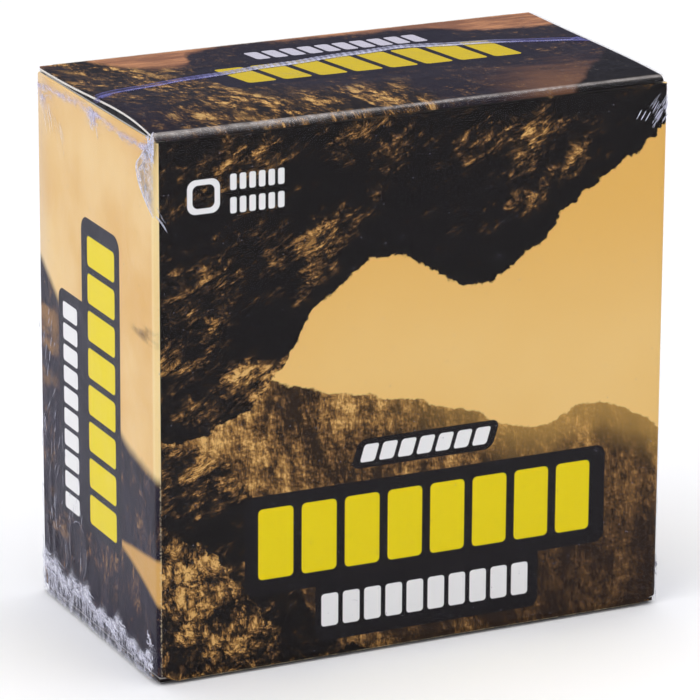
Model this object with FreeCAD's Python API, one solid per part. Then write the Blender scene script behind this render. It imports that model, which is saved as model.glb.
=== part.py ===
"""A boxed gymnastics chalk block: a pressed chalk block in a tuck-end carton with a shrink film round it.

The origin is the centre of the footprint, +Z is up and -Y is the front. All sizes are in millimetres.
The carton's top and bottom closures are the same parts. The bottom one is the top one turned half
round about the X axis through the middle of the carton, which makes a reverse tuck end: the top lid
hinges at the back and the bottom lid hinges at the front.
"""
import FreeCAD, Part

import math
import os

from FreeCAD import Vector

# Carton, outside
WIDTH = 55.0
DEPTH = 30.0
HEIGHT = 55.0
BOARD = 0.4  # paperboard thickness
FOLD_RADIUS = 0.6  # outside radius of the four upright folds
RAW_EDGE_INSET = 0.4  # the right wall's cut back edge, from the carton's back

# Shrink film
FILM = 0.05
FILM_GAP = 0.05  # between the film and the board under it
SEAM_WIDTH = 1.4  # the weld that runs along the middle of the top
SEAM_RISE = 0.06
FILM_HINGE_INSET = 0.8  # the lid's film stops this far short of the lid's hinge

# Lids and their tuck flaps
HINGE_SLIT = 0.03  # between a fold's bead and the flap that turns on it
LID_EDGE_INSET = 0.25  # each cut side edge of a lid, from the carton's side
LID_FOLD_RADIUS = 1.0  # outside radius of the fold between lid and tuck flap
TUCK_GAP = 0.1  # between the tuck flap and the wall that it slides behind
TUCK_LENGTH = 7.5
TUCK_TILT = 10.0  # degrees that the tuck flap leans inward
TUCK_HALF_WIDTH = 26.2
TUCK_CORNER = 4.0
TOP_LID_CROWN = 0.5  # how far the sealed top lid bows up between its folds

# Dust flaps
LID_CLEARANCE = 0.15  # between a lid and the dust flaps under it
DUST_LENGTH = 18.0
DUST_SIDE_INSET = 1.7  # each end of a dust flap's fold, from the carton's front and back
DUST_HINGE_SIDE_TAPER = 24.0  # degrees, on the side next to the lid's hinge
DUST_TUCK_SIDE_CHAMFER = 4.0
DUST_TIP_CORNER = 2.0
CUT_EDGE_DROP = 0.6  # the cut edge of the wall that a tuck flap slides behind, below the lid's face

# Glue flap
GLUE = 0.05
GLUE_FLAP_WIDTH = 9.0
GLUE_FLAP_END_TAPER = 3.0
GLUE_WIDTH = 5.0
GLUE_END_MARGIN = 8.0

# Chalk block: 2 in square and 1 in thick
BLOCK_FACE = 50.8
BLOCK_THICKNESS = 25.4
BLOCK_EDGE = 0.8
BLOCK_GAP = 0.05  # between the block and the dust flaps that it stands on

FLOOR_TO_BOARD = FILM + FILM_GAP
BOTTOM = FLOOR_TO_BOARD
TOP = BOTTOM + HEIGHT
MIDDLE = (BOTTOM + TOP) / 2
HALF_W, HALF_D, HALF_T = WIDTH / 2, DEPTH / 2, BOARD / 2
HINGE_Y, HINGE_Z = HALF_D - HALF_T, TOP - HALF_T  # the top lid's hinge line
TUCK_FACE_Y = -HALF_D + BOARD + TUCK_GAP  # outside face of the tuck flap where it leaves the fold
TUCK_FOLD_Z = TOP - LID_FOLD_RADIUS
LID_HALF_WIDTH = HALF_W - LID_EDGE_INSET
DUST_Z = TOP - BOARD - LID_CLEARANCE - HALF_T  # middle of the top dust flaps, and their hinge line
CUT_EDGE_Z = TOP - CUT_EDGE_DROP
NOTCH_Z = TOP - BOARD - LID_CLEARANCE / 2  # the notches at a lid's fold start just under the lid
GLUE_FLAP_X = HALF_W - BOARD - GLUE  # outside face of the glue flap


def box(low, high):
    """A block between two opposite corners."""
    size = Vector(*high) - Vector(*low)
    return Part.makeBox(size.x, size.y, size.z, Vector(*low))


def prism(outline, direction):
    """A solid swept from a flat closed outline of points."""
    return Part.Face(Part.makePolygon(outline + outline[:1])).extrude(direction)


def bead(start, end):
    """The round edge of a folded board, along its hinge line."""
    along = end - start
    return Part.makeCylinder(HALF_T, along.Length, start, along)


def turned_under(shape):
    """The shape's place in the bottom closure."""
    copy = shape.copy()
    copy.rotate(Vector(0, 0, MIDDLE), Vector(1, 0, 0), 180)
    return copy


def fuse(first, *others):
    """One solid from several that share faces."""
    return first.multiFuse(list(others)).removeSplitter()


def upright_bend(x, y, side_x, side_y, low, high):
    """A quarter-round fold at one upright corner. x and y are its centre; side_x and side_y face outward."""
    ring = Part.makeCylinder(FOLD_RADIUS, high - low, Vector(x, y, low)).cut(
        Part.makeCylinder(FOLD_RADIUS - BOARD, high - low, Vector(x, y, low))
    )
    quarter = box(
        (min(x, x + side_x * FOLD_RADIUS), min(y, y + side_y * FOLD_RADIUS), low),
        (max(x, x + side_x * FOLD_RADIUS), max(y, y + side_y * FOLD_RADIUS), high),
    )
    return ring.common(quarter)


def front_panel():
    """The front wall: a cut edge at its top, a hinge bead at its bottom, and an upright fold at each side."""
    low, high = BOTTOM + HALF_T, CUT_EDGE_Z
    flat = HALF_W - FOLD_RADIUS
    centre_y = -HALF_D + FOLD_RADIUS
    bend_low = turned_under_z(DUST_Z)
    wall = box((-flat, -HALF_D, low), (flat, -HALF_D + BOARD, high))
    hinge = bead(Vector(-flat, -HINGE_Y, low), Vector(flat, -HINGE_Y, low))
    bends = [
        upright_bend(side * flat, centre_y, side, -1, bend_low, high)
        for side in (-1, 1)
    ]
    return fuse(wall, hinge, *bends)


def turned_under_z(z):
    """The height that z has after the half turn that makes the bottom closure."""
    return 2 * MIDDLE - z


def back_panel():
    """The back wall: a hinge bead at its top, a cut edge at its bottom and the fold to the glue flap."""
    low, high = turned_under_z(CUT_EDGE_Z), HINGE_Z
    left_flat = -HALF_W + FOLD_RADIUS
    right_flat = GLUE_FLAP_X - FOLD_RADIUS
    centre_y = HALF_D - FOLD_RADIUS
    wall = box((left_flat, HALF_D - BOARD, low), (right_flat, HALF_D, high))
    hinge = bead(Vector(left_flat, HINGE_Y, high), Vector(right_flat, HINGE_Y, high))
    left_bend = upright_bend(left_flat, centre_y, -1, 1, low, DUST_Z)
    right_bend = upright_bend(right_flat, centre_y, 1, 1, low, DUST_Z)
    return fuse(wall, hinge, left_bend, right_bend)


def side_panel(side, back_edge):
    """A side wall with a bead at its top and bottom for the dust flaps. back_edge is where it stops."""
    low, high = turned_under_z(DUST_Z), DUST_Z
    fold_half = HALF_D - DUST_SIDE_INSET
    x = side * (HALF_W - HALF_T)
    wall = box(
        (x - HALF_T, -HALF_D + FOLD_RADIUS, low), (x + HALF_T, back_edge, high)
    )
    beads = [bead(Vector(x, -fold_half, z), Vector(x, fold_half, z)) for z in (low, high)]
    return fuse(wall, *beads)


def glue_flap():
    """The flap that leaves the back panel's fold and lies inside the right panel, with tapered ends."""
    low, high = turned_under_z(DUST_Z), DUST_Z
    start_y = HALF_D - FOLD_RADIUS
    end_y = start_y - GLUE_FLAP_WIDTH
    x = GLUE_FLAP_X - BOARD
    outline = [
        Vector(x, start_y, low + BOARD),
        Vector(x, end_y, low + BOARD + GLUE_FLAP_END_TAPER),
        Vector(x, end_y, high - BOARD - GLUE_FLAP_END_TAPER),
        Vector(x, start_y, high - BOARD),
    ]
    return prism(outline, Vector(BOARD, 0, 0))


def glue_line():
    """The strip of adhesive between the glue flap and the right panel."""
    middle_y = HALF_D - FOLD_RADIUS - GLUE_FLAP_WIDTH / 2
    return box(
        (GLUE_FLAP_X, middle_y - GLUE_WIDTH / 2, BOTTOM + GLUE_END_MARGIN),
        (GLUE_FLAP_X + GLUE, middle_y + GLUE_WIDTH / 2, TOP - GLUE_END_MARGIN),
    )


def arc_through(start, end, rise):
    """A shallow arc from start to end that stands rise above the straight line between them."""
    if rise == 0:
        return Part.LineSegment(start, end).toShape()
    middle = (start + end) / 2 + Vector(0, 0, rise)
    return Part.Arc(start, middle, end).toShape()


def tuck_direction():
    """The way that the tuck flap points at rest, down and leaning inward."""
    tilt = math.radians(TUCK_TILT)
    return Vector(0, math.sin(tilt), -math.cos(tilt))


def fold_point(radius, turn):
    """A point of the lid's front fold, turn degrees on from the lid, in the YZ plane."""
    angle = math.radians(90 + turn)
    centre = Vector(0, TUCK_FACE_Y + LID_FOLD_RADIUS, TUCK_FOLD_Z)
    return centre + Vector(0, radius * math.cos(angle), radius * math.sin(angle))


def lid(crown):
    """A lid with the round fold at its free edge. crown is its rise between the hinge and the fold.

    A bead at the end of the fold is the hinge of the tuck flap. The fold is notched at each side, where
    it goes down between the side walls.
    """
    hinge_end = HINGE_Y - HALF_T - HINGE_SLIT
    inner_radius = LID_FOLD_RADIUS - BOARD
    fold_turn = 90 + TUCK_TILT
    outer_hinge = Vector(0, hinge_end, TOP)
    inner_hinge = Vector(0, hinge_end, TOP - BOARD)
    outer = [fold_point(LID_FOLD_RADIUS, turn) for turn in (0, fold_turn / 2, fold_turn)]
    inner = [fold_point(inner_radius, turn) for turn in (0, fold_turn / 2, fold_turn)]
    edges = [
        arc_through(outer_hinge, outer[0], crown),
        Part.Arc(*outer).toShape(),
        Part.LineSegment(outer[2], inner[2]).toShape(),
        Part.Arc(inner[2], inner[1], inner[0]).toShape(),
        arc_through(inner[0], inner_hinge, crown),
        Part.LineSegment(inner_hinge, outer_hinge).toShape(),
    ]
    profile = Part.Face(Part.Wire(edges))
    profile.translate(Vector(-LID_HALF_WIDTH, 0, 0))
    sheet = profile.extrude(Vector(2 * LID_HALF_WIDTH, 0, 0))
    half_fold = Vector(TUCK_HALF_WIDTH, 0, 0)
    hinge = bead(tuck_hinge() - half_fold, tuck_hinge() + half_fold)
    notches = [
        box((low, -HALF_D, TUCK_FOLD_Z - LID_FOLD_RADIUS), (high, 0, NOTCH_Z))
        for low, high in ((-HALF_W, -TUCK_HALF_WIDTH), (TUCK_HALF_WIDTH, HALF_W))
    ]
    return fuse(sheet, hinge).cut(notches)


def tuck_hinge():
    """A point on the line that the tuck flap turns about: the middle of the board at the fold's end."""
    return fold_point(LID_FOLD_RADIUS - HALF_T, 90 + TUCK_TILT)


def tuck_flap():
    """The flap at the lid's free edge, with its two free corners rounded."""
    along = tuck_direction()
    across = Vector(0, -along.z, along.y)
    inset = HALF_T + HINGE_SLIT
    start = tuck_hinge() + along * inset - across * HALF_T
    reach = TUCK_LENGTH - inset
    width, corner = TUCK_HALF_WIDTH, TUCK_CORNER
    lean = corner * (1 - math.sqrt(0.5))

    def at(x, u):
        return Vector(x, 0, 0) + start + along * u

    edges = [
        Part.LineSegment(at(-width, 0), at(width, 0)).toShape(),
        Part.LineSegment(at(width, 0), at(width, reach - corner)).toShape(),
        Part.Arc(
            at(width, reach - corner),
            at(width - lean, reach - lean),
            at(width - corner, reach),
        ).toShape(),
        Part.LineSegment(at(width - corner, reach), at(corner - width, reach)).toShape(),
        Part.Arc(
            at(corner - width, reach),
            at(lean - width, reach - lean),
            at(-width, reach - corner),
        ).toShape(),
        Part.LineSegment(at(-width, reach - corner), at(-width, 0)).toShape(),
    ]
    return Part.Face(Part.Wire(edges)).extrude(across * BOARD)


def dust_flap(side):
    """A flap folded in from a side wall under the lid. Its hinge side tapers so that the lid clears it."""
    x_fold = side * (HALF_W - HALF_T)
    start = HALF_T + HINGE_SLIT
    back = HALF_D - DUST_SIDE_INSET
    tip_back = back - DUST_LENGTH * math.tan(math.radians(DUST_HINGE_SIDE_TAPER))
    steps = [
        (start, -back),
        (DUST_LENGTH - DUST_TUCK_SIDE_CHAMFER, -back),
        (DUST_LENGTH, -back + DUST_TUCK_SIDE_CHAMFER),
        (DUST_LENGTH, tip_back - DUST_TIP_CORNER),
        (DUST_LENGTH - DUST_TIP_CORNER, tip_back),
        (start, back),
    ]
    outline = [Vector(x_fold - side * s, y, DUST_Z - HALF_T) for s, y in steps]
    return prism(outline, Vector(0, 0, BOARD))


def film_loop(offset, low, high):
    """A rounded rectangular column that stands offset outside the carton's walls."""
    half_x, half_y = HALF_W + offset, HALF_D + offset
    column = box((-half_x, -half_y, low), (half_x, half_y, high))
    upright = [
        edge
        for edge in column.Edges
        if abs(edge.Vertexes[0].X - edge.Vertexes[1].X) < 1e-6
        and abs(edge.Vertexes[0].Y - edge.Vertexes[1].Y) < 1e-6
    ]
    return column.makeFillet(FOLD_RADIUS + offset, upright)


def film_sleeve():
    """The film round the four walls."""
    low, high = turned_under_z(CUT_EDGE_Z), CUT_EDGE_Z
    outside = film_loop(FILM_GAP + FILM, low, high)
    return outside.cut(film_loop(FILM_GAP, low, high))


def lid_film(crown, with_seam):
    """The film over a lid, which bows with it, and the weld along its middle where it has one."""
    hinge_end = HINGE_Y - FILM_HINGE_INSET
    fold_end = TUCK_FACE_Y + LID_FOLD_RADIUS
    under, over = TOP + FILM_GAP, TOP + FILM_GAP + FILM
    edges = [
        arc_through(Vector(0, hinge_end, under), Vector(0, fold_end, under), crown),
        Part.LineSegment(Vector(0, fold_end, under), Vector(0, fold_end, over)).toShape(),
        arc_through(Vector(0, fold_end, over), Vector(0, hinge_end, over), crown),
        Part.LineSegment(Vector(0, hinge_end, over), Vector(0, hinge_end, under)).toShape(),
    ]
    face = Part.Face(Part.Wire(edges))
    face.translate(Vector(-HALF_W, 0, 0))
    sheet = face.extrude(Vector(WIDTH, 0, 0))
    if not with_seam:
        return sheet
    seam_low = over + crown - FILM
    seam = box(
        (-HALF_W, -SEAM_WIDTH / 2, seam_low),
        (HALF_W, SEAM_WIDTH / 2, over + crown + SEAM_RISE),
    )
    return fuse(sheet, seam)


def chalk_block():
    """The pressed block, standing on the bottom dust flaps, with its edges broken."""
    floor = turned_under_z(DUST_Z) + HALF_T + BLOCK_GAP
    block = box(
        (-BLOCK_FACE / 2, -BLOCK_THICKNESS / 2, floor),
        (BLOCK_FACE / 2, BLOCK_THICKNESS / 2, floor + BLOCK_FACE),
    )
    return block.makeChamfer(BLOCK_EDGE, block.Edges)


def closure_parts(crown, with_seam):
    """The parts of one closure, at the top."""
    return {
        "lid": lid(crown),
        "tuck_flap": tuck_flap(),
        "dust_flap_left": dust_flap(-1),
        "dust_flap_right": dust_flap(1),
        "film": lid_film(crown, with_seam),
    }


def model():
    """Every part by its name."""
    parts = {
        "front_panel": front_panel(),
        "back_panel": back_panel(),
        "left_side_panel": side_panel(-1, HALF_D - FOLD_RADIUS),
        "right_side_panel": side_panel(1, HALF_D - RAW_EDGE_INSET),
        "glue_flap": glue_flap(),
        "glue_line": glue_line(),
        "chalk_block": chalk_block(),
        "film_sleeve": film_sleeve(),
    }
    for name, shape in closure_parts(TOP_LID_CROWN, True).items():
        parts["top_" + name] = shape
    for name, shape in closure_parts(0, False).items():
        parts["bottom_" + name] = turned_under(shape)
    return parts


def main():
    os.makedirs("parts", exist_ok=True)
    for name, shape in model().items():
        shape.exportStep(f"parts/{name}.step")
        low, high = shape.BoundBox.ZMin, shape.BoundBox.ZMax
        print(f"{name}: {len(shape.Solids)} solid, {shape.Volume:.1f} mm3, z {low:.2f} to {high:.2f}")
    print("top lid hinge y, z:", round(HINGE_Y, 3), round(HINGE_Z, 3))
    print("top tuck hinge y, z:", round(tuck_hinge().y, 3), round(tuck_hinge().z, 3))
    print("top dust hinge x, z:", round(HALF_W - HALF_T, 3), round(DUST_Z, 3))


main()
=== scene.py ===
"""A boxed gymnastics chalk block: a pressed block in a printed tuck-end carton with shrink film round it.

Every length in the mesh code is in millimetres; metres() turns it into the frame's unit. Colours are
written as they look on a screen, from 0 to 255, and rgb() makes them linear.
"""
import math
import random

import bmesh
import bpy
from mathutils import Matrix, Vector, noise


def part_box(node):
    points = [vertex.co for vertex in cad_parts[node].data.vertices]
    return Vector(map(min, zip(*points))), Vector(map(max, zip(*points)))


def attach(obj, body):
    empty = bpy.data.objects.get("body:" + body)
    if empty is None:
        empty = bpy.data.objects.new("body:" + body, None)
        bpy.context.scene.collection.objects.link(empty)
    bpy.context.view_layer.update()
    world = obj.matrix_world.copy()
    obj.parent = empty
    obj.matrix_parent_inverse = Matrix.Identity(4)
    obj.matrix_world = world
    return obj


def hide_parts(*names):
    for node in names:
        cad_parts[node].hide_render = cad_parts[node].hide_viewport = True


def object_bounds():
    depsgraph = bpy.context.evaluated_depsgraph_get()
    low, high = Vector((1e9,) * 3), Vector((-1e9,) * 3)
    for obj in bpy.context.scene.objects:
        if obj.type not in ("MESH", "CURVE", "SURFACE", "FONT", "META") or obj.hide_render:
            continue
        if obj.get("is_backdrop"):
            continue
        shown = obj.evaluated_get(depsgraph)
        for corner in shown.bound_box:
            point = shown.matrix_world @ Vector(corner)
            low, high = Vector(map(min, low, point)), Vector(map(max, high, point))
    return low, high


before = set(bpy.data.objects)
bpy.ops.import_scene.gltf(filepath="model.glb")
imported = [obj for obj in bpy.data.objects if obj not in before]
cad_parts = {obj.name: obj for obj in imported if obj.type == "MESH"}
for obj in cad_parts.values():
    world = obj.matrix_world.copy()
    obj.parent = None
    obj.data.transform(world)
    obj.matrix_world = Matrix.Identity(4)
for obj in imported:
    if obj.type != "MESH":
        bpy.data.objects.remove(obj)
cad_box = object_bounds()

MM = 0.001
BOARD = 0.4  # paperboard thickness
FOLD_RADIUS = 0.6  # outside radius of the upright folds
FILM = 0.03  # film thickness
FILM_GAP = 0.05  # between the film and the print under it


def node_box(name):
    """A CAD node's lowest and highest corners, in millimetres."""
    low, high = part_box(name)
    return low / MM, high / MM


FRONT_LOW, FRONT_HIGH = node_box("front_panel")
BACK_LOW, BACK_HIGH = node_box("back_panel")
SIDE_LOW, SIDE_HIGH = node_box("left_side_panel")
RIGHT_LOW, RIGHT_HIGH = node_box("right_side_panel")
LID_HIGH = node_box("top_lid")[1]
TUCK_HIGH = node_box("top_tuck_flap")[1]
BLOCK_LOW, BLOCK_HIGH = node_box("chalk_block")
FILM_LOW, FILM_HIGH = node_box("film_sleeve")

HALF_W = FRONT_HIGH.x
HALF_D = BACK_HIGH.y
BOTTOM = FRONT_LOW.z
TOP = BACK_HIGH.z
WIDTH, DEPTH, HEIGHT = 2 * HALF_W, 2 * HALF_D, TOP - BOTTOM
MIDDLE = (BOTTOM + TOP) / 2
FLAT_X = HALF_W - FOLD_RADIUS  # where an upright fold begins


# ---------------------------------------------------------------- camera, light and stage


def turned(azimuth, elevation):
    """The direction from the object to a place at these angles, in degrees. Azimuth 0 is the front."""
    a, e = math.radians(azimuth), math.radians(elevation)
    return Vector((math.sin(a) * math.cos(e), -math.cos(a) * math.cos(e), math.sin(e)))


def look_at(obj, place, target, roll=0.0):
    """Put obj at a place, in metres, with its -Z towards the target."""
    aim = (target - place).to_track_quat("-Z", "Y").to_matrix().to_4x4()
    obj.matrix_world = Matrix.Translation(place) @ aim @ Matrix.Rotation(math.radians(roll), 4, "Z")


def make_camera():
    data = bpy.data.cameras.new("camera")
    data.sensor_width = 36
    data.lens = 251.0
    distance = 0.49  # metres
    data.clip_start = 0.01
    camera = bpy.data.objects.new("camera", data)
    bpy.context.collection.objects.link(camera)
    target = Vector((-0.25, -0.5, 26.4)) * MM
    look_at(camera, target + turned(-25.5, 17.7) * distance, target, roll=0.28)
    bpy.context.scene.camera = camera


def softbox(name, azimuth, elevation, distance, size, power, colour=(1, 1, 1)):
    data = bpy.data.lights.new(name, "AREA")
    data.shape = "RECTANGLE"
    data.size, data.size_y = size
    data.energy = power
    data.color = colour
    light = bpy.data.objects.new(name, data)
    bpy.context.collection.objects.link(light)
    target = Vector((0, 0, MIDDLE)) * MM
    look_at(light, target + turned(azimuth, elevation) * distance, target)


def make_stage():
    """A pale floor, soft lights and a dim surround."""
    floor = bpy.data.meshes.new("floor")
    reach = 3.0
    depth = -0.0002
    corners = [(-reach, -reach), (reach, -reach), (reach, reach), (-reach, reach)]
    floor.from_pydata([(x, y, depth) for x, y in corners], [], [(0, 1, 2, 3)])
    obj = bpy.data.objects.new("floor", floor)
    bpy.context.collection.objects.link(obj)
    floor.materials.append(floor_material())
    obj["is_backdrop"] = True
    softbox("light_above", 150, 84, 1.4, (1.9, 1.9), 26)
    softbox("light_front_left", -70, 28, 0.8, (0.6, 0.7), 2.5)
    softbox("light_front_right", 35, 30, 0.9, (0.7, 0.7), 1.3)
    world = bpy.data.worlds.new("surround")
    bpy.context.scene.world = world
    world.use_nodes = True
    background = world.node_tree.nodes["Background"]
    background.inputs["Color"].default_value = (0.80, 0.82, 1.0, 1)
    background.inputs["Strength"].default_value = 0.2
    bpy.context.scene.view_settings.view_transform = "Standard"


# ---------------------------------------------------------------- building materials


def rgb(red, green, blue):
    """A linear colour from the 0 to 255 values that a screen shows."""

    def linear(value):
        value /= 255
        return value / 12.92 if value <= 0.04045 else ((value + 0.055) / 1.055) ** 2.4

    return (linear(red), linear(green), linear(blue), 1.0)


class Value:
    """An output of a node, with arithmetic that adds nodes."""

    def __init__(self, shade, socket):
        self.shade, self.socket = shade, socket

    def __add__(self, other):
        return self.shade.math("ADD", self, other)

    def __sub__(self, other):
        return self.shade.math("SUBTRACT", self, other)

    def __rsub__(self, other):
        return self.shade.math("SUBTRACT", other, self)

    def __mul__(self, other):
        return self.shade.math("MULTIPLY", self, other)

    def __truediv__(self, other):
        return self.shade.math("DIVIDE", self, other)

    __radd__ = __add__
    __rmul__ = __mul__


class Shade:
    """A material and short calls that build its nodes."""

    def __init__(self, name):
        self.material = bpy.data.materials.new(name)
        self.material.use_nodes = True
        self.tree = self.material.node_tree
        self.tree.nodes.clear()

    def node(self, kind, inputs, **settings):
        """A node with its settings, and its inputs by name or number."""
        node = self.tree.nodes.new(kind)
        for key, value in settings.items():
            setattr(node, key, value)
        for key, value in inputs.items():
            if isinstance(value, Value):
                self.tree.links.new(value.socket, node.inputs[key])
            else:
                node.inputs[key].default_value = value
        return node

    def value(self, kind, inputs, output=0, **settings):
        return Value(self, self.node(kind, inputs, **settings).outputs[output])

    def math(self, operation, *values):
        return self.value("ShaderNodeMath", dict(enumerate(values)), operation=operation)

    def most(self, a, b):
        return self.math("MAXIMUM", a, b)

    def least(self, a, b):
        return self.math("MINIMUM", a, b)

    def size(self, a):
        return self.math("ABSOLUTE", a)

    def smooth(self, value, low, high):
        """0 at low, 1 at high, with a smooth way between them."""
        inputs = {"Value": value, "From Min": low, "From Max": high}
        return self.value("ShaderNodeMapRange", inputs, "Result", interpolation_type="SMOOTHSTEP")

    def vector(self, x, y, z):
        return self.value("ShaderNodeCombineXYZ", {0: x, 1: y, 2: z})

    def split(self, vector):
        return [Value(self, output) for output in self.node("ShaderNodeSeparateXYZ", {0: vector}).outputs]

    def place(self):
        """x, y and z on the object, in millimetres."""
        inputs = {0: self.value("ShaderNodeTexCoord", {}, "Object"), "Scale": 1 / MM}
        return self.split(self.value("ShaderNodeVectorMath", inputs, operation="SCALE"))

    def normal(self):
        """The face's own direction on the object: x, y and z."""
        return self.split(self.value("ShaderNodeTexCoord", {}, "Normal"))

    def noise(self, where, scale, detail, roughness=0.55, distortion=0.0, dimensions="3D"):
        """Cloudy noise from 0 to 1. scale is in features per millimetre."""
        inputs = {"Vector": where, "Scale": scale, "Detail": detail, "Roughness": roughness}
        inputs["Distortion"] = distortion
        return self.value("ShaderNodeTexNoise", inputs, noise_dimensions=dimensions)

    def cells(self, where, scale, feature="F1", dimensions="3D"):
        """The distance to scattered points, or to the edges between their cells."""
        inputs = {"Vector": where, "Scale": scale}
        settings = {"voronoi_dimensions": dimensions, "feature": feature}
        return self.value("ShaderNodeTexVoronoi", inputs, "Distance", **settings)

    def flat_noise(self, a, b, scale, detail, roughness):
        """Cloudy noise from 0 to 1 over two lengths in millimetres."""
        return self.noise(self.vector(a, b, 0.0), scale, detail, roughness, dimensions="2D")

    def flat_cells(self, a, b, scale, feature="F1"):
        return self.cells(self.vector(a, b, 0.0), scale, feature, "2D")

    def relief(self, a, b, scale, detail, roughness, reach):
        """Rough ground with light from the upper right: above 0 where a slope faces it, below where not."""
        here = self.flat_noise(a, b, scale, detail, roughness)
        return here - self.flat_noise(a + reach, b + reach * 0.7, scale, detail, roughness)

    def pick(self, share, a, b):
        """Number a, going to number b as share goes from 0 to 1."""
        return a + (b - a) * share

    def ramp(self, value, *stops):
        """A colour from stops of (place, colour), in order."""
        node = self.node("ShaderNodeValToRGB", {0: value})
        elements = node.color_ramp.elements
        while len(elements) < len(stops):
            elements.new(0.5)
        for element, stop in zip(elements, stops):
            element.position, element.color = stop
        return Value(self, node.outputs[0])

    def curve(self, value, *points):
        """A smooth line through points, each with both of its numbers from 0 to 1."""
        node = self.node("ShaderNodeFloatCurve", {"Value": value})
        line = node.mapping.curves[0]
        while len(line.points) < len(points):
            line.points.new(0.5, 0.5)
        for point, place in zip(line.points, points):
            point.location = place
        node.mapping.update()
        return Value(self, node.outputs[0])

    def mix(self, share, a, b):
        """Colour a, going to colour b as share goes from 0 to 1."""
        return self.value("ShaderNodeMix", {0: share, 6: a, 7: b}, 2, data_type="RGBA")

    def blend(self, value, low, high, a, b):
        """Colour a, going to colour b as value goes from low to high."""
        return self.mix(self.smooth(value, low, high), a, b)

    def bump(self, height, distance):
        return self.value("ShaderNodeBump", {"Height": height, "Distance": distance * MM})

    def join(self, share, a, b):
        """Surface a, going to surface b as share goes from 0 to 1."""
        return self.value("ShaderNodeMixShader", {0: share, 1: a, 2: b})

    def surface(self, colour, roughness, specular, normal=None, **own):
        """A Principled surface. The numbers that are the same all over are on its own sockets."""
        inputs = {"Base Color": colour, "Roughness": roughness, "Specular IOR Level": specular}
        if normal is not None:
            inputs["Normal"] = normal
        inputs.update((name.replace("_", " "), value) for name, value in own.items())
        return self.value("ShaderNodeBsdfPrincipled", inputs)

    def finish(self, surface):
        self.node("ShaderNodeOutputMaterial", {"Surface": surface})
        return self.material

    def painted(self, *looks, **own):
        """The finished material, with only one surface."""
        return self.finish(self.surface(*looks, **own))


# ---------------------------------------------------------------- plain materials


def floor_material():
    shade = Shade("pale_floor")
    x, y, _ = shade.place()
    grain = shade.noise(shade.vector(x, y, 0), 0.02, 3)
    return shade.painted(shade.mix(grain, rgb(249, 249, 250), rgb(252, 252, 252)), 0.7, 0.2)


def fibres(shade, x, y, z):
    """The mottled, fibrous look of bare board, from 0 to 1."""
    cloud = shade.noise(shade.vector(x, y, z), 0.9, 5, 0.6)
    threads = shade.noise(shade.vector(x * 1.0, y * 6.0, z * 0.8), 1.6, 4, 0.7, 0.6)
    return cloud * 0.5 + threads * 0.5


def bare_board(shade, grain):
    return shade.blend(grain, 0.35, 0.65, rgb(196, 192, 184), rgb(226, 223, 216))


def inside_material():
    """The bare grey-white inside of the board."""
    shade = Shade("board_inside")
    grain = fibres(shade, *shade.place())
    return shade.painted(bare_board(shade, grain), 0.88, 0.2, shade.bump(grain, 0.03))


def core_material(name, pale, deep):
    """The cut edge of the board: white layers with a faint grey middle, or the same in dark colours."""
    shade = Shade(name)
    x, y, z = shade.place()
    grain = shade.noise(shade.vector(x, y * 2.5, z * 7.0), 2.2, 5, 0.7)
    return shade.painted(shade.blend(grain, 0.3, 0.7, deep, pale), 0.9, 0.15, shade.bump(grain, 0.05))


def chalk_material():
    """Pressed powder: matt white, with pores, crumbs and faint press marks."""
    shade = Shade("pressed_chalk")
    where = shade.vector(*shade.place())
    cloud = shade.noise(where, 0.12, 5, 0.6)
    powder = shade.noise(where, 3.5, 6, 0.7)
    pores = shade.smooth(shade.cells(where, 1.3), 0.16, 0.05)
    colour = shade.blend(cloud, 0.3, 0.7, rgb(214, 213, 209), rgb(236, 235, 231))
    colour = shade.mix(shade.smooth(powder, 0.55, 0.3) * 0.35, colour, rgb(194, 193, 189))
    colour = shade.mix(pores * 0.5, colour, rgb(170, 170, 167))
    height = shade.bump(powder * 0.7 + cloud * 0.5 - pores * 0.6, 0.2)
    return shade.painted(colour, 0.95, 0.1, height, Sheen_Weight=0.1, Sheen_Roughness=0.8)


def glue_material():
    shade = Shade("dried_glue")
    beads = shade.noise(shade.vector(*shade.place()), 0.8, 4, 0.5, 0.8)
    colour = shade.mix(beads, rgb(198, 172, 120), rgb(226, 208, 166))
    return shade.painted(colour, 0.3, 0.5, shade.bump(beads, 0.08))


# ---------------------------------------------------------------- the printed pattern

NIGHT = rgb(19, 16, 15)
ROCK_DARK = rgb(38, 29, 22)
ROCK_BROWN = rgb(92, 66, 38)
ROCK_TAN = rgb(178, 132, 72)
ROCK_PALE = rgb(222, 178, 108)
SKY = rgb(232, 182, 96)
SKY_PALE = rgb(243, 206, 136)
HILL = rgb(104, 75, 42)
HILL_DARK = rgb(44, 32, 22)
HILL_LIT = rgb(176, 132, 74)
DUSK = rgb(38, 25, 21)
PLATE = rgb(27, 24, 26)
YELLOW = rgb(236, 214, 16)
WHITE = rgb(240, 239, 238)
DULL_YELLOW = rgb(206, 180, 34)
DULL_WHITE = rgb(196, 192, 204)


def rounded_bar(shade, a, b, span_a, span_b, radius):
    """1 inside a rounded rectangle. a and b are in millimetres, and so is the soft edge."""
    edge = 0.05
    middle_a, half_a = (span_a[0] + span_a[1]) / 2, (span_a[1] - span_a[0]) / 2
    middle_b, half_b = (span_b[0] + span_b[1]) / 2, (span_b[1] - span_b[0]) / 2
    out_a = shade.most(shade.size(a - middle_a) - (half_a - radius), 0.0)
    out_b = shade.most(shade.size(b - middle_b) - (half_b - radius), 0.0)
    away = shade.math("SQRT", out_a * out_a + out_b * out_b)
    return shade.smooth(away, radius + edge, radius - edge)


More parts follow.
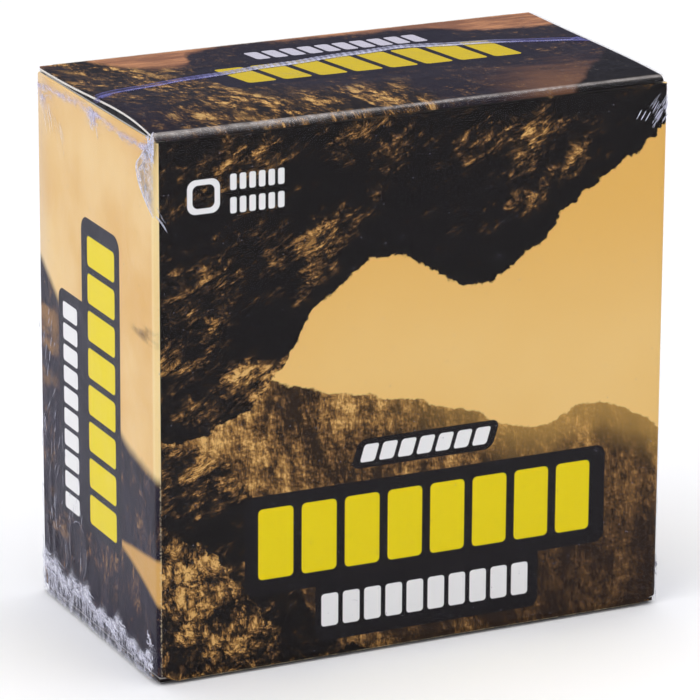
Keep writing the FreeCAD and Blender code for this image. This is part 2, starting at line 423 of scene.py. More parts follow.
def plates(shade, colour, a, b, big, small, plate):
    """A print with two overlapping rounded plates on it, each given as its spans and its corners' radius."""
    shape = shade.most(rounded_bar(shade, a, b, *big), rounded_bar(shade, a, b, *small))
    return shade.mix(shape, colour, plate)


def bar_row(shade, a, b, span_a, span_b, count, gap, radius, lean=0.0):
    """A row of equal rounded blocks, which stands where a word would be. lean slants them."""
    middle_b = (span_b[0] + span_b[1]) / 2
    slanted = a - (b - middle_b) * lean
    cell = (span_a[1] - span_a[0]) / count
    turns = (slanted - span_a[0]) / cell
    within = shade.math("FRACT", turns) * cell
    block = rounded_bar(shade, within, b, (gap / 2, cell - gap / 2), span_b, radius)
    inside = shade.math("GREATER_THAN", slanted, span_a[0]) * shade.math("LESS_THAN", slanted, span_a[1])
    return block * inside


def words(shade, colour, a, b, *rows):
    """A print with rows of blocks on it. Each row is its ink and then what bar_row takes."""
    for ink, *row in rows:
        colour = shade.mix(bar_row(shade, a, b, *row), colour, ink)
    return colour


def rock(shade, a, b, lit):
    """Rock in low light. lit, about -0.3 to 0.3, is how much of it catches the light."""
    broad = shade.flat_noise(a, b, 0.22, 3, 0.5)
    bent = b + (broad - 0.5) * 3.5
    grain = shade.flat_noise(a + 31, bent, 1.2, 4, 0.85)
    slope = shade.relief(a, bent, 0.42, 6, 0.8, 0.14)
    layer = shade.size(shade.flat_noise(a * 0.45 + 7, bent * 0.9, 0.4, 4, 0.62) - 0.5)
    crack = shade.flat_cells(a + (grain - 0.5) * 3, bent, 0.3, "DISTANCE_TO_EDGE")
    lumps = shade.flat_cells(a + (broad - 0.5) * 4, b * 0.9, 0.5) + shade.flat_cells(a, b, 1.3) * 0.6
    level = 0.41 + slope * 1.5 + (broad - 0.5) * 0.9 + (grain - 0.5) * 1.2 + (0.76 - lumps) * 0.45 + lit
    level = level + shade.smooth(layer, 0.022, 0.0) * 0.1 - shade.smooth(layer, 0.13, 0.2) * 0.1
    level = level - shade.smooth(crack, 0.09, 0.0) * 0.2
    dark = (0.38, NIGHT), (0.54, ROCK_DARK), (0.7, ROCK_BROWN)
    return shade.ramp(level, *dark, (0.88, ROCK_TAN), (1.0, ROCK_PALE))


def patch(shade, a, b, at, reach, strength):
    """A soft spot of extra light on the rock."""
    da, db = (a - at[0]) / reach[0], (b - at[1]) / reach[1]
    return shade.smooth(da * da + db * db, 1.0, 0.0) * strength


def far_hills(shade, u, v, a, b):
    """Cliffs in the distance, in upright strata, paler towards the ridge on the right."""
    strata = shade.relief(a * 1.2, b * 0.75, 0.5, 6, 0.8, 0.18)
    folds = shade.flat_noise(a * 0.9, b * 0.35, 0.32, 3, 0.5)
    grain = shade.flat_noise(a, b, 1.2, 4, 0.85)
    lumps = shade.flat_cells(a + folds * 4, b * 0.8, 0.75) + shade.flat_cells(a, b, 1.8) * 0.5
    calm = shade.smooth(u, 0.45, 0.95)
    level = strata * 1.7 + (folds - 0.5) * 1.3 + (grain - 0.5) * 0.9 + (0.66 - lumps) * 0.42
    level = 0.42 + level * (1.15 - calm * 0.35) + shade.smooth(u, 0.5, 0.15) * 0.12
    level = (
        level
        + patch(shade, u, v, (0.14, 0.42), (0.07, 0.14), 0.12)
        - patch(shade, u, v, (0.26, 0.43), (0.06, 0.14), 0.2)
        + patch(shade, u, v, (0.36, 0.42), (0.05, 0.1), 0.08)
    )
    level = level - shade.smooth(v, 0.3, 0.0) * 0.2
    hills = shade.ramp(level, (0.2, HILL_DARK), (0.5, HILL), (0.82, HILL_LIT), (1.0, ROCK_PALE))
    return shade.mix(shade.smooth(v, 0.34, 0.04) * shade.smooth(u, 0.3, 0.9) * 0.5, hills, DUSK)


def landscape(shade, across, up, seed):
    """A rock arch over hills under a golden sky, over lengths in millimetres across and up the panel."""
    u, v = across / WIDTH, up / HEIGHT
    a, b = across + seed, up + seed
    ragged = shade.flat_noise(a, b, 0.3, 5, 0.68) - 0.5

    haze = shade.flat_noise(a, b, 0.05, 3, 0.5)
    low_sky = shade.smooth(v, 0.85, 0.5)
    sky = shade.mix(low_sky * (0.55 + 0.6 * (haze - 0.5)), SKY, SKY_PALE)

    ridge = shade.curve(
        u, (0, 0.5), (0.16, 0.545), (0.3, 0.505), (0.45, 0.475), (0.6, 0.43), (0.74, 0.38), (0.84, 0.405),
        (0.93, 0.385), (1, 0.34),
    )
    below_ridge = ridge + ragged * 0.035 - v
    hills = far_hills(shade, u, v, a, b)
    mist = shade.smooth(below_ridge, 0.1, 0.0) * shade.smooth(u, 0.3, 0.85)
    hills = shade.mix(mist * 0.42, hills, SKY)
    colour = shade.blend(below_ridge, -0.001, 0.004, sky, hills)

    slope = shade.curve(u, (0, 0.3), (0.1, 0.23), (0.28, 0.02), (0.33, 0), (1, 0))
    crag = shade.curve(u, (0, 0.45), (0.12, 0.4), (0.24, 0.2), (0.4, 0), (1, 0))
    arch = shade.curve(
        u, (0, 0.45), (0.14, 0.47), (0.24, 0.56), (0.32, 0.67), (0.43, 0.735), (0.51, 0.715), (0.6, 0.66),
        (0.69, 0.69), (0.8, 0.78), (0.9, 0.85), (1, 0.92),
    )
    near = shade.smooth(slope + ragged * 0.09 - v, 0.0, 0.008)
    shelf = shade.smooth(crag + ragged * 0.12 - v, 0.0, 0.006)
    over = shade.smooth(v - arch - ragged * 0.06, -0.002, 0.002)

    spots = (
        ((0.1, 0.56), (0.2, 0.12), 0.26), ((0.16, 0.72), (0.3, 0.14), 0.17),
        ((0.33, 0.77), (0.1, 0.06), 0.24), ((0.75, 0.86), (0.13, 0.12), 0.34),
        ((0.06, 0.95), (0.2, 0.16), 0.22), ((0.5, 0.95), (0.3, 0.08), 0.1), ((0.2, 0.54), (0.1, 0.05), 0.3),
    )
    lit = [patch(shade, u, v, *spot) for spot in spots]
    hollow, shaded = ((0.21, 0.63), (0.13, 0.06), 0.4), ((0.5, 0.84), (0.12, 0.1), 0.08)
    light = sum(lit[1:], lit[0]) - patch(shade, u, v, *hollow) - patch(shade, u, v, *shaded) - 0.16
    lip = shade.smooth(v - arch - ragged * 0.06, 0.1, 0.02) * shade.smooth(u, 0.25, 0.4)
    light = shade.pick(lip, light, -0.4)
    light = shade.pick(shelf * (1.0 - over), light, patch(shade, u, v, (0.05, 0.4), (0.2, 0.13), 0.26) - 0.1)
    light = shade.pick(near, light, 0.12 + patch(shade, u, v, (0.07, 0.19), (0.14, 0.08), 0.3))
    streak_a, streak_b = (a * 0.86 + b * 0.5) * 0.5, (b * 0.86 - a * 0.5) * 1.15
    stone = rock(shade, shade.pick(near, streak_a, a), shade.pick(near, streak_b, b), light)
    return shade.mix(shade.most(shade.most(near, shelf), over), colour, stone)


def worn(shade, colour, x, y, z, away):
    """Ink that has rubbed off along a fold. away is the distance from the fold, in millimetres."""
    specks = shade.noise(shade.vector(x, y, z), 4.0, 3, 0.7)
    rubbed = shade.smooth(away - (specks - 0.5) * 0.5, 0.16, 0.0) * shade.smooth(specks, 0.35, 0.6)
    return shade.mix(rubbed * 0.6, colour, rgb(226, 208, 168))


def print_finish(shade, colour, x, y, z):
    """The satin varnish over the ink, with the board's slight unevenness under it."""
    fine = shade.noise(shade.vector(x, y, z), 2.6, 3, 0.5)
    slow = shade.noise(shade.vector(x, y, z), 0.07, 2, 0.5)
    speckled = shade.mix(shade.smooth(fine, 0.3, 0.8) * 0.012, colour, WHITE)
    height = fine * 0.12 + slow * 1.0
    roughness = 0.36 + fine * 0.16
    return shade.painted(speckled, roughness, 0.04, shade.bump(height, 0.08))


def front_print():
    shade = Shade("print_front")
    x, y, z = shade.place()
    across, up = x + HALF_W, z - BOTTOM
    colour = landscape(shade, across, up, 3.0)
    big, small = ((9.1, 48.7), (7.5, 17.8), 1.1), ((16.7, 41.3), (1.7, 9.0), 1.0)
    colour = plates(shade, colour, across, up, big, small, PLATE)
    title = (YELLOW, (10.1, 47.4), (9.1, 16.4), 8, 0.9, 0.5)
    line = (WHITE, (17.1, 40.4), (3.2, 6.6), 10, 0.5, 0.35)
    colour = words(shade, colour, across, up, title, line)
    leaning = across - (up - 20.6) * 0.3
    colour = shade.mix(rounded_bar(shade, leaning, up, (20.9, 36.4), (19.1, 22.1), 0.9), colour, PLATE)
    colour = words(shade, colour, across, up, (WHITE, (21.5, 35.8), (19.7, 21.5), 7, 0.45, 0.3, 0.3))
    frame_mark = rounded_bar(shade, across, up, (3.2, 6.6), (47.0, 50.4), 0.9)
    hollow = rounded_bar(shade, across, up, (3.75, 6.05), (47.55, 49.85), 0.6)
    colour = shade.mix(frame_mark - hollow, colour, WHITE)
    lines = [(WHITE, (7.5, 13.5), (top - 1.6, top), 6, 0.32, 0.22) for top in (50.6, 48.3)]
    colour = words(shade, colour, across, up, *lines)
    colour = worn(shade, colour, x, y, z, shade.least(HALF_W - shade.size(x), z - BOTTOM))
    return print_finish(shade, colour, x, y, z)


def back_print():
    """The back: the same kind of landscape behind a plate with plain lines where the details would be."""
    shade = Shade("print_back")
    x, y, z = shade.place()
    across, up = HALF_W - x, z - BOTTOM
    colour = landscape(shade, across, up, 141.0)
    colour = shade.mix(rounded_bar(shade, across, up, (5, 50), (7, 47.5), 1.4), colour, PLATE)
    colour = words(shade, colour, across, up, (YELLOW, (8, 33), (40.5, 44.5), 7, 0.6, 0.4))
    for row in range(9):
        length = (38, 36, 39, 24, 37, 39, 31, 38, 17)[row]
        level = 36.6 - row * 2.9
        line = rounded_bar(shade, across, up, (8, 8 + length), (level, level + 0.85), 0.4)
        colour = shade.mix(line * 0.85, colour, WHITE)
    colour = worn(shade, colour, x, y, z, shade.least(HALF_W - shade.size(x), TOP - z))
    return print_finish(shade, colour, x, y, z)


def side_print(name, side, seed):
    """A side wall: pale sky over dark ground, with a plate of blocks that runs down it."""
    shade = Shade(name)
    x, y, z = shade.place()
    across = (HALF_D - y) if side < 0 else (y + HALF_D)
    up = z - BOTTOM
    s, v = across / DEPTH, up / HEIGHT
    where = shade.vector(y, seed, z)
    ragged = shade.noise(where, 0.2, 6, 0.55) - 0.5
    cloud = shade.noise(where, 0.07, 3, 0.5)
    stains = shade.noise(shade.vector(y * 0.5, seed, z), 0.35, 6, 0.6)

    sky = shade.blend(cloud, 0.3, 0.7, rgb(226, 180, 108), rgb(240, 206, 146))
    sky = shade.mix(shade.smooth(s, 0.14, 0.0) * 0.5, sky, rgb(226, 206, 178))
    smudge = patch(shade, s, v, (0.95, 0.635), (0.2, 0.02), 1.0) * shade.smooth(stains, 0.4, 0.6)
    sky = shade.mix(smudge * 0.8, sky, ROCK_BROWN)

    # Painted highlight: the sky turns paler along the fold where s nears 1.
    fold_highlight = shade.smooth(s, 0.955, 0.97)
    sky = shade.mix(fold_highlight * 0.45, sky, rgb(248, 232, 176))

    speck = shade.smooth(shade.noise(where, 3.2, 2, 0.5), 0.68, 0.76)
    ground = rock(shade, y * 0.9 + seed * 40, z * 0.55 + 20, 0.0)
    ground = shade.mix(0.55 + (stains - 0.5) * 0.6, ground, rgb(36, 29, 52))
    ground = shade.mix(speck * 0.6, ground, ROCK_BROWN)
    brown = patch(shade, s, v, (0.06, 0.5), (0.16, 0.14), 0.6)
    brown = brown + patch(shade, s, v, (0.12, 0.16), (0.16, 0.06), 0.9)
    ground = shade.mix(brown * shade.smooth(stains, 0.45, 0.62), ground, ROCK_TAN)
    edge = shade.curve(s, (0, 0.66), (0.3, 0.54), (0.7, 0.42), (1, 0.38))
    colour = shade.blend(edge + ragged * 0.02 - v, -0.012, 0.018, sky, ground)

    lens_top = shade.curve(s, (0, 0.2), (0.6, 0.22), (1, 0.235))
    lens_low = shade.curve(s, (0, 0.22), (0.6, 0.215), (1, 0.14))
    lens = shade.smooth(lens_top + ragged * 0.01 - v, 0.0, 0.012) * shade.smooth(v - lens_low, -0.006, 0.01)
    colour = shade.mix(lens * shade.smooth(s, 0.6, 0.66), colour, rgb(206, 160, 92))

    down = TOP - z
    big, small = ((11.3, 20.9), (12.3, 44.9), 1.5), ((5.2, 12.6), (21.3, 44.9), 1.2)
    colour = plates(shade, colour, across, down, big, small, rgb(30, 27, 38))
    title = (YELLOW, (13.7, 44.3), (12.8, 19.6), 8, 0.75, 0.45)
    line = (WHITE, (22.3, 44.5), (6.3, 10.0), 10, 0.5, 0.35)
    colour = words(shade, colour, down, across, title, line)
    colour = worn(shade, colour, x, y, z, shade.least(HALF_D - shade.size(y), TOP - z - 0.4))
    return print_finish(shade, colour, x, y, z)


def lid_print():
    """The top: dark ground with bands of lit rock, and a plate of blocks that faces the back."""
    shade = Shade("print_lid")
    x, y, z = shade.place()
    across, down = x + HALF_W, (HALF_D - y) + (TOP - z) * 0.5
    u, w = across / WIDTH, down / DEPTH
    ragged = shade.flat_noise(x, y, 0.3, 5, 0.65) - 0.5
    base = rock(shade, x * 1.2 + 300, y * 1.6 + 20, -0.05)
    base = shade.mix(0.55, base, rgb(40, 34, 46))
    drift = shade.flat_noise(x * 0.35, y * 1.6, 0.3, 5, 0.65)
    dusk = shade.blend(drift, 0.35, 0.7, rgb(134, 90, 66), rgb(196, 138, 96))
    sky_edge = shade.curve(
        u, (0, 0.02), (0.06, 0.05), (0.12, 0.15), (0.24, 0.21), (0.29, 0.05), (0.6, 0.04), (0.74, 0.06),
        (0.85, 0.17), (1, 0.2),
    )
    colour = shade.blend(sky_edge + ragged * 0.1 - w, -0.03, 0.03, base, dusk)
    spur = shade.size(u - (w * 0.23 + 0.055) + ragged * 0.07)
    pale = rock(shade, x * 1.1 + 90, y * 0.7 + x * 0.2 + 50, 0.2)
    left = shade.smooth(u - w * 0.2 + ragged * 0.2, 0.26, 0.12)
    left = left * shade.smooth(w - u * 0.6 + ragged * 0.3, 0.0, 0.16)
    colour = shade.mix(left * 0.75, colour, rock(shade, x * 0.9 + 190, y * 0.8 + x * 0.3 + 90, 0.1))
    colour = shade.blend(spur, 0.06 + w * 0.03, 0.03, colour, pale)
    stone = shade.smooth(u + ragged * 0.1, 0.28, 0.33) * shade.smooth(u + ragged * 0.1, 0.57, 0.53)
    colour = shade.mix(stone * shade.smooth(w + ragged * 0.2, 0.62, 0.8) * 0.85, colour, pale)
    brown = shade.smooth(u, 0.64, 0.8) * shade.smooth(w + (drift - 0.5) * 0.5, 0.58, 0.92)
    colour = shade.mix(brown * 0.6, colour, rgb(130, 90, 64))
    corner = shade.smooth(u + w * 0.44 + ragged * 0.03, 1.24, 1.26)
    colour = shade.mix(corner, colour, NIGHT)
    low_left = shade.smooth(u, 0.14, 0.02) * shade.smooth(w, 0.45, 0.7)
    colour = shade.mix(low_left * 0.6, colour, rgb(34, 29, 42))

    big, small = ((13.2, 47.6), (7.6, 17.4), 1.2), ((19.8, 43.5), (3.0, 9.0), 1.0)
    colour = plates(shade, colour, across, down, big, small, rgb(28, 24, 34))
    title = (DULL_YELLOW, (15.1, 46.0), (9.2, 16.0), 8, 0.8, 0.45, 0.12)
    line = (DULL_WHITE, (20.6, 40.0), (4.0, 7.0), 10, 0.45, 0.35, 0.12)
    colour = words(shade, colour, across, down, title, line)
    return print_finish(shade, colour, x, y, z)


def base_print():
    """The bottom: dark, rocky ground and a small plain label with plain lines."""
    shade = Shade("print_base")
    x, y, z = shade.place()
    colour = rock(shade, x * 0.8 + y * 0.3 + 200, y * 0.9 + 60, -0.02)
    colour = shade.mix(rounded_bar(shade, x, y, (-14, 14), (-6, 6), 0.8), colour, WHITE)
    for row in range(4):
        line = rounded_bar(shade, x, y, (-12, (8, 11, 4, 10)[row]), (3.2 - row * 2.4, 4.0 - row * 2.4), 0.3)
        colour = shade.mix(line, colour, PLATE)
    return print_finish(shade, colour, x, y, z)


def flap_material(name, outward, bleed_at):
    """A flap: coated white outside with ink bleed near its fold, bare inside, and cut edges.

    outward is the side that the print is on, and bleed_at gives the distance from the fold.
    """
    shade = Shade(name)
    x, y, z = shade.place()
    facing = shade.normal()
    out = facing[0] * outward[0] + facing[1] * outward[1] + facing[2] * outward[2]
    grain = fibres(shade, x, y, z)
    coated = shade.mix(grain, rgb(236, 235, 232), rgb(248, 247, 245))
    away = bleed_at(shade, x, y, z) + (grain - 0.5) * 0.5
    coated = shade.blend(away, 3.2, 2.9, coated, ROCK_DARK)
    colour = shade.blend(out, 0.3, 0.7, rgb(238, 234, 227), coated)
    colour = shade.blend(out, -0.3, -0.7, colour, bare_board(shade, grain))
    roughness = 0.85 - shade.smooth(out, 0.3, 0.7) * 0.4
    return shade.painted(colour, roughness, 0.2, shade.bump(grain, 0.03))


# ---------------------------------------------------------------- meshes


def new_piece(name, mesh, body, slot, *replaced, angle=40):
    """An object in the scene that rides on a body. slot is not used."""
    mesh.validate()
    mesh.shade_smooth()
    mesh.set_sharp_from_angle(angle=math.radians(angle))
    obj = bpy.data.objects.new(name, mesh)
    bpy.context.collection.objects.link(obj)
    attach(obj, body)
    if replaced:
        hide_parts(*replaced)


def metres(points):
    return [Vector(p) * MM for p in points]


def grid_faces(rows, columns, start=0, flip=False):
    """Quads of a grid whose points are in rows."""
    faces = []
    for i in range(rows - 1):
        for j in range(columns - 1):
            a = start + i * columns + j
            quad = (a, a + 1, a + columns + 1, a + columns)
            faces.append(quad[::-1] if flip else quad)
    return faces


def grid_normals(grid):
    """The direction out of a grid at each point, from its neighbours, row after row."""
    rows, columns = len(grid), len(grid[0])
    result = []
    for i in range(rows):
        for j in range(columns):
            along = grid[i][min(j + 1, columns - 1)] - grid[i][max(j - 1, 0)]
            up = grid[min(i + 1, rows - 1)][j] - grid[max(i - 1, 0)][j]
            result.append(along.cross(up).normalized())
    return result


def shell(grid, thickness):
    """Points and faces of the two sides of a sheet whose outside is a grid. Its borders are open."""
    rows, columns = len(grid), len(grid[0])
    outer = [p for row in grid for p in row]
    inner = [p - n * thickness for p, n in zip(outer, grid_normals(grid))]
    return outer + inner, grid_faces(rows, columns) + grid_faces(rows, columns, len(outer), flip=True)


def borders(rows, columns):
    """Each border of a grid: its name, its points in order, and the step from them to the next ones in."""
    return (
        ("low", list(range(columns)), columns),
        ("last", [i * columns + columns - 1 for i in range(rows)], -1),
        ("high", [(rows - 1) * columns + j for j in reversed(range(columns))], -columns),
        ("first", [i * columns for i in reversed(range(rows))], 1),
    )


ROUND_STEPS = 6  # faces across a round edge
INK_BLEED = 0.42  # how far the ink runs down a cut edge, in thicknesses of the board
CORE_END = 0.85  # where the white core ends, the same way


def board(name, grid, body, node, materials, slots, rounded=(), inked=()):
    """A sheet of paperboard. grid holds its outside surface, with its columns running so that it faces out.

    slots gives each column of faces its print material. The inside and cut edges are the last two
    materials. rounded names the borders, of low, high, first and last, that are folds, not cuts, and
    inked the cut borders that take the print's material in place of the white core.
    """
    rows, columns = len(grid), len(grid[0])
    count = rows * columns
    inside, cut = len(materials) - 2, len(materials) - 1
    points, faces = shell(grid, BOARD)
    indices = slots * (rows - 1) + [inside] * (len(faces) // 2)
    for key, line, inward in borders(rows, columns):
        rings = [line]
        if key in rounded:
            for step in range(1, ROUND_STEPS):
                turn = math.pi * step / ROUND_STEPS
                rings.append([len(points) + a for a in range(len(line))])
                for k in line:
                    middle = (points[k] + points[k + count]) / 2
                    out = (points[k] - points[k + inward]).normalized() * BOARD / 2
                    points.append(middle + (points[k] - middle) * math.cos(turn) + out * math.sin(turn))
        else:
            for share in INK_BLEED, CORE_END:
                rings.append([len(points) + a for a in range(len(line))])
                points.extend(points[k].lerp(points[k + count], share) for k in line)
        rings.append([k + count for k in line])
        for level, (near, far) in enumerate(zip(rings, rings[1:])):
            for a in range(len(line) - 1):
                faces.append((near[a + 1], near[a], far[a], far[a + 1]))
                if key in inked or level < (ROUND_STEPS // 2 if key in rounded else 1):
                    indices.append(slots[min(a, len(slots) - 1)])
                else:
                    indices.append(cut if level == 1 and key not in rounded else inside)
    mesh = bpy.data.meshes.new(name)
    mesh.from_pydata(metres(points), [], faces)
    for material in materials:
        mesh.materials.append(material)
    mesh.polygons.foreach_set("material_index", indices)
    new_piece(name, mesh, body, "printed_board", node)


def steps(low, high, count):
    return [low + (high - low) * i / count for i in range(count + 1)]


def soft_wave(x, z, seed):
    """The slight unevenness of a board panel, about 0.03 mm."""
    return noise.noise(Vector((x * 0.06, z * 0.06, seed))) * 0.035


def bend(centre_x, centre_y, start, end, count=7):
    """Points round an upright fold, with the angles in degrees."""
    result = []
    for angle in steps(start, end, count):
        a = math.radians(angle)
        result.append((centre_x + FOLD_RADIUS * math.cos(a), centre_y + FOLD_RADIUS * math.sin(a)))
    return result


def wall_line(left, right, y, side_y):
    """The plan of a front or back wall with its two upright folds, seen from outside it, left to right."""
    if side_y < 0:
        first = bend(left, y + FOLD_RADIUS, 180, 270)
        last = bend(right, y + FOLD_RADIUS, 270, 360)
    else:
        first = bend(right, y - FOLD_RADIUS, 0, 90)
        last = bend(left, y - FOLD_RADIUS, 90, 180)
    flat = [(x, y) for x in steps(first[-1][0], last[0][0], 40)[1:-1]]
    return first + flat + last


def wall_rows(line, side, span, flat, seed):
    """Rows of points up a front or back wall.

    line is its plan, side -1 in front and 1 behind, span gives its low and high ends at x, and flat says
    where it is uneven.
    """
    rows = []
    for t in steps(0, 1, 40):
        row = []
        for x, y in line:
            low, high = span(x)
            z = low + (high - low) * t
            row.append(Vector((x, y + side * soft_wave(x, z, seed) * flat(x, y), z)))
        rows.append(row)
    return rows


def make_walls(art):
    bare = [art["inside"], art["core"]]
    sides = [art["left"], art["right"]] + bare
    half = BOARD / 2
    corner = 0.28  # the front's print stops this far round an upright fold
    right_flat = BACK_HIGH.x - FOLD_RADIUS

    def front_span(x):
        return (FRONT_LOW.z if abs(x) < FLAT_X else SIDE_LOW.z) + half, FRONT_HIGH.z

    def back_span(x):
        return BACK_LOW.z, (BACK_HIGH.z if -FLAT_X < x < right_flat else SIDE_HIGH.z) - half

    line = wall_line(-FLAT_X, FLAT_X, -HALF_D, -1)
    rows = wall_rows(line, -1, front_span, lambda x, y: abs(x) < FLAT_X, 1.0)
    slots = [1 if x < -FLAT_X - corner else 2 if x > HALF_W - 0.05 else 0 for x, _ in line[:-1]]
    board("front_wall", rows, "carton", "front_panel", [art["front"]] + sides, slots, ("low",), ("high",))

    line = wall_line(-FLAT_X, right_flat, HALF_D, 1)
    rows = wall_rows(line, 1, back_span, lambda x, y: abs(y) > HALF_D - 0.001, 2.0)
    slots = [
        2 if ahead > right_flat + corner else 1 if x < -FLAT_X - corner else 0
        for (x, _), (ahead, _) in zip(line, line[1:])
    ]
    board("back_wall", rows, "carton", "back_panel", [art["back"]] + sides, slots, ("high",))

    for key, side, low, high in (("left", -1, SIDE_LOW, SIDE_HIGH), ("right", 1, RIGHT_LOW, RIGHT_HIGH)):
        ys = steps(high.y, low.y, 24) if side < 0 else steps(low.y, high.y, 24)
        rows = []
        for z in steps(low.z + half, high.z - half, 40):
            row = []
            for y in ys:
                calm = min(1.0, (y - low.y) / 4, (high.y - y) / 4)
                row.append(Vector((side * (HALF_W + soft_wave(y, z, 3.0 + side) * calm), y, z)))
            rows.append(row)
        node = f"{key}_side_panel"
        board(f"{key}_wall", rows, "carton", node, [art[key]] + bare, [0] * 24, ("low", "high"))


# The lid, as the sealed film has bowed it

LID_HINGE = LID_HIGH.y  # its back edge
LID_FOLD = 1.0  # outside radius of its front fold
FOLD_Y = -HALF_D + BOARD + 0.1 + LID_FOLD  # the middle of that fold
FOLD_Z = TOP - LID_FOLD
FOLD_TURN = 100  # degrees from the lid to the tuck flap
LID_CROWN = 0.58  # how far it bows up at its left side
HUMP_TOP = 0.0922  # the greatest value of lid_rise's curve before it is scaled


def lid_rise(x, y):
    """How far the top lid stands up from flat, most of it in the front half."""
    t = (LID_HINGE - y) / (LID_HINGE - FOLD_Y)
    if t <= 0 or t >= 1:
        return 0.0
    hump = (t ** 3) * ((1 - t) ** 1.1) / HUMP_TOP
    return LID_CROWN * hump * (1 - 0.8 * (x / HALF_W + 1) / 2)


def lid_profile(crowned):
    """(x half-width, function from x to the point) for each row of a lid, from its hinge to its fold."""
    rows = []
    for y in steps(LID_HINGE, FOLD_Y, 44):
        rows.append((LID_HIGH.x, lambda x, y=y: Vector((x, y, TOP + crowned * lid_rise(x, y)))))
    notch = (TOP - BOARD - 0.075 - FOLD_Z) / LID_FOLD
    for turn in steps(0, FOLD_TURN, 16)[1:]:
        angle = math.radians(90 + turn)
        y, z = FOLD_Y + LID_FOLD * math.cos(angle), FOLD_Z + LID_FOLD * math.sin(angle)
        half = LID_HIGH.x if math.sin(angle) > notch else TUCK_HIGH.x
        rows.append((half, lambda x, y=y, z=z: Vector((x, y, z))))
    return rows


def turned_under(point):
    """A point's place in the bottom closure, half a turn round the X axis through the middle."""
    return Vector((point.x, -point.y, 2 * MIDDLE - point.z))


def make_lids(art):
    columns = 48
    for end, crowned, move in (("top", 1, Vector), ("bottom", 0, turned_under)):
        rows = [[move(place(x)) for x in steps(half, -half, columns)] for half, place in lid_profile(crowned)]
        print_name, edge_name = ("lid", "core") if end == "top" else ("base", "dark_core")
        materials = [art[print_name], art["inside"], art[edge_name]]
        board(f"{end}_lid_board", rows, f"{end}_lid", f"{end}_lid", materials, [0] * columns, ("high",))


def make_flaps():
    """The flaps that the closures hide keep their CAD shape and get the board's materials."""
    for end, up in (("top", 1), ("bottom", -1)):
        fold_z = FOLD_Z if end == "top" else 2 * MIDDLE - FOLD_Z
        tuck = flap_material(f"{end}_tuck", (0, -up, 0), lambda shade, x, y, z, f=fold_z, u=up: (f - z) * u)
        dust = flap_material(f"{end}_dust", (0, 0, up), lambda shade, x, y, z: HALF_W - shade.size(x))
        dress(f"{end}_tuck_flap", tuck)
        dress(f"{end}_dust_flap_left", dust)
        dress(f"{end}_dust_flap_right", dust)
    dress("glue_flap", flap_material("glue_flap_board", (1, 0, 0), lambda shade, x, y, z: HALF_D - y))
    dress("glue_line", glue_material())


def dress(node, material):
    """Give a carried-over CAD node its material."""
    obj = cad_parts[node]
    if not obj.material_slots:
        obj.data.materials.append(material)
    for slot in obj.material_slots:
        slot.link = "OBJECT"
        slot.material = material


# ---------------------------------------------------------------- the chalk block


def make_block():
    """The pressed block: soft corners, chipped edges and a fine grain."""
    cuts = 64
    bm = bmesh.new()
    bmesh.ops.create_cube(bm, size=2.0)
    bmesh.ops.subdivide_edges(bm, edges=bm.edges[:], cuts=cuts, use_grid_fill=True)
    centre = (BLOCK_LOW + BLOCK_HIGH) / 2
    half = (BLOCK_HIGH - BLOCK_LOW) / 2
    radius = 0.9
    for vertex in bm.verts:
        p = Vector([math.sin(c * math.pi / 2) * h for c, h in zip(vertex.co, half)])
        core = Vector([max(-(h - radius), min(h - radius, c)) for c, h in zip(p, half)])
        out = p - core
        depth = out.length
        if depth > 0:
            p = core + out.normalized() * min(radius, max(abs(c) for c in out) if depth < radius else radius)
        where = p + centre
        edge = sum(1 for c, h in zip(p, half) if abs(c) > h - 1.4) > 1
        chip = max(0.0, noise.fractal(where * 0.8, 0.6, 2.3, 5) - 0.22) * (1.2 if edge else 0.0)
        grain = abs(noise.fractal(where * 1.7, 0.8, 2.0, 4)) * 0.09
        inward = (p - core).normalized() if (p - core).length > 1e-9 else Vector((0, 0, 0))
        vertex.co = (where - inward * min(chip + grain, 0.75)) * MM
    mesh = bpy.data.meshes.new("pressed_block")
    bm.to_mesh(mesh)
    bm.free()
    mesh.materials.append(chalk_material())
    new_piece("pressed_block", mesh, "chalk_block", "chalk", "chalk_block", angle=80)


# ---------------------------------------------------------------- the shrink film


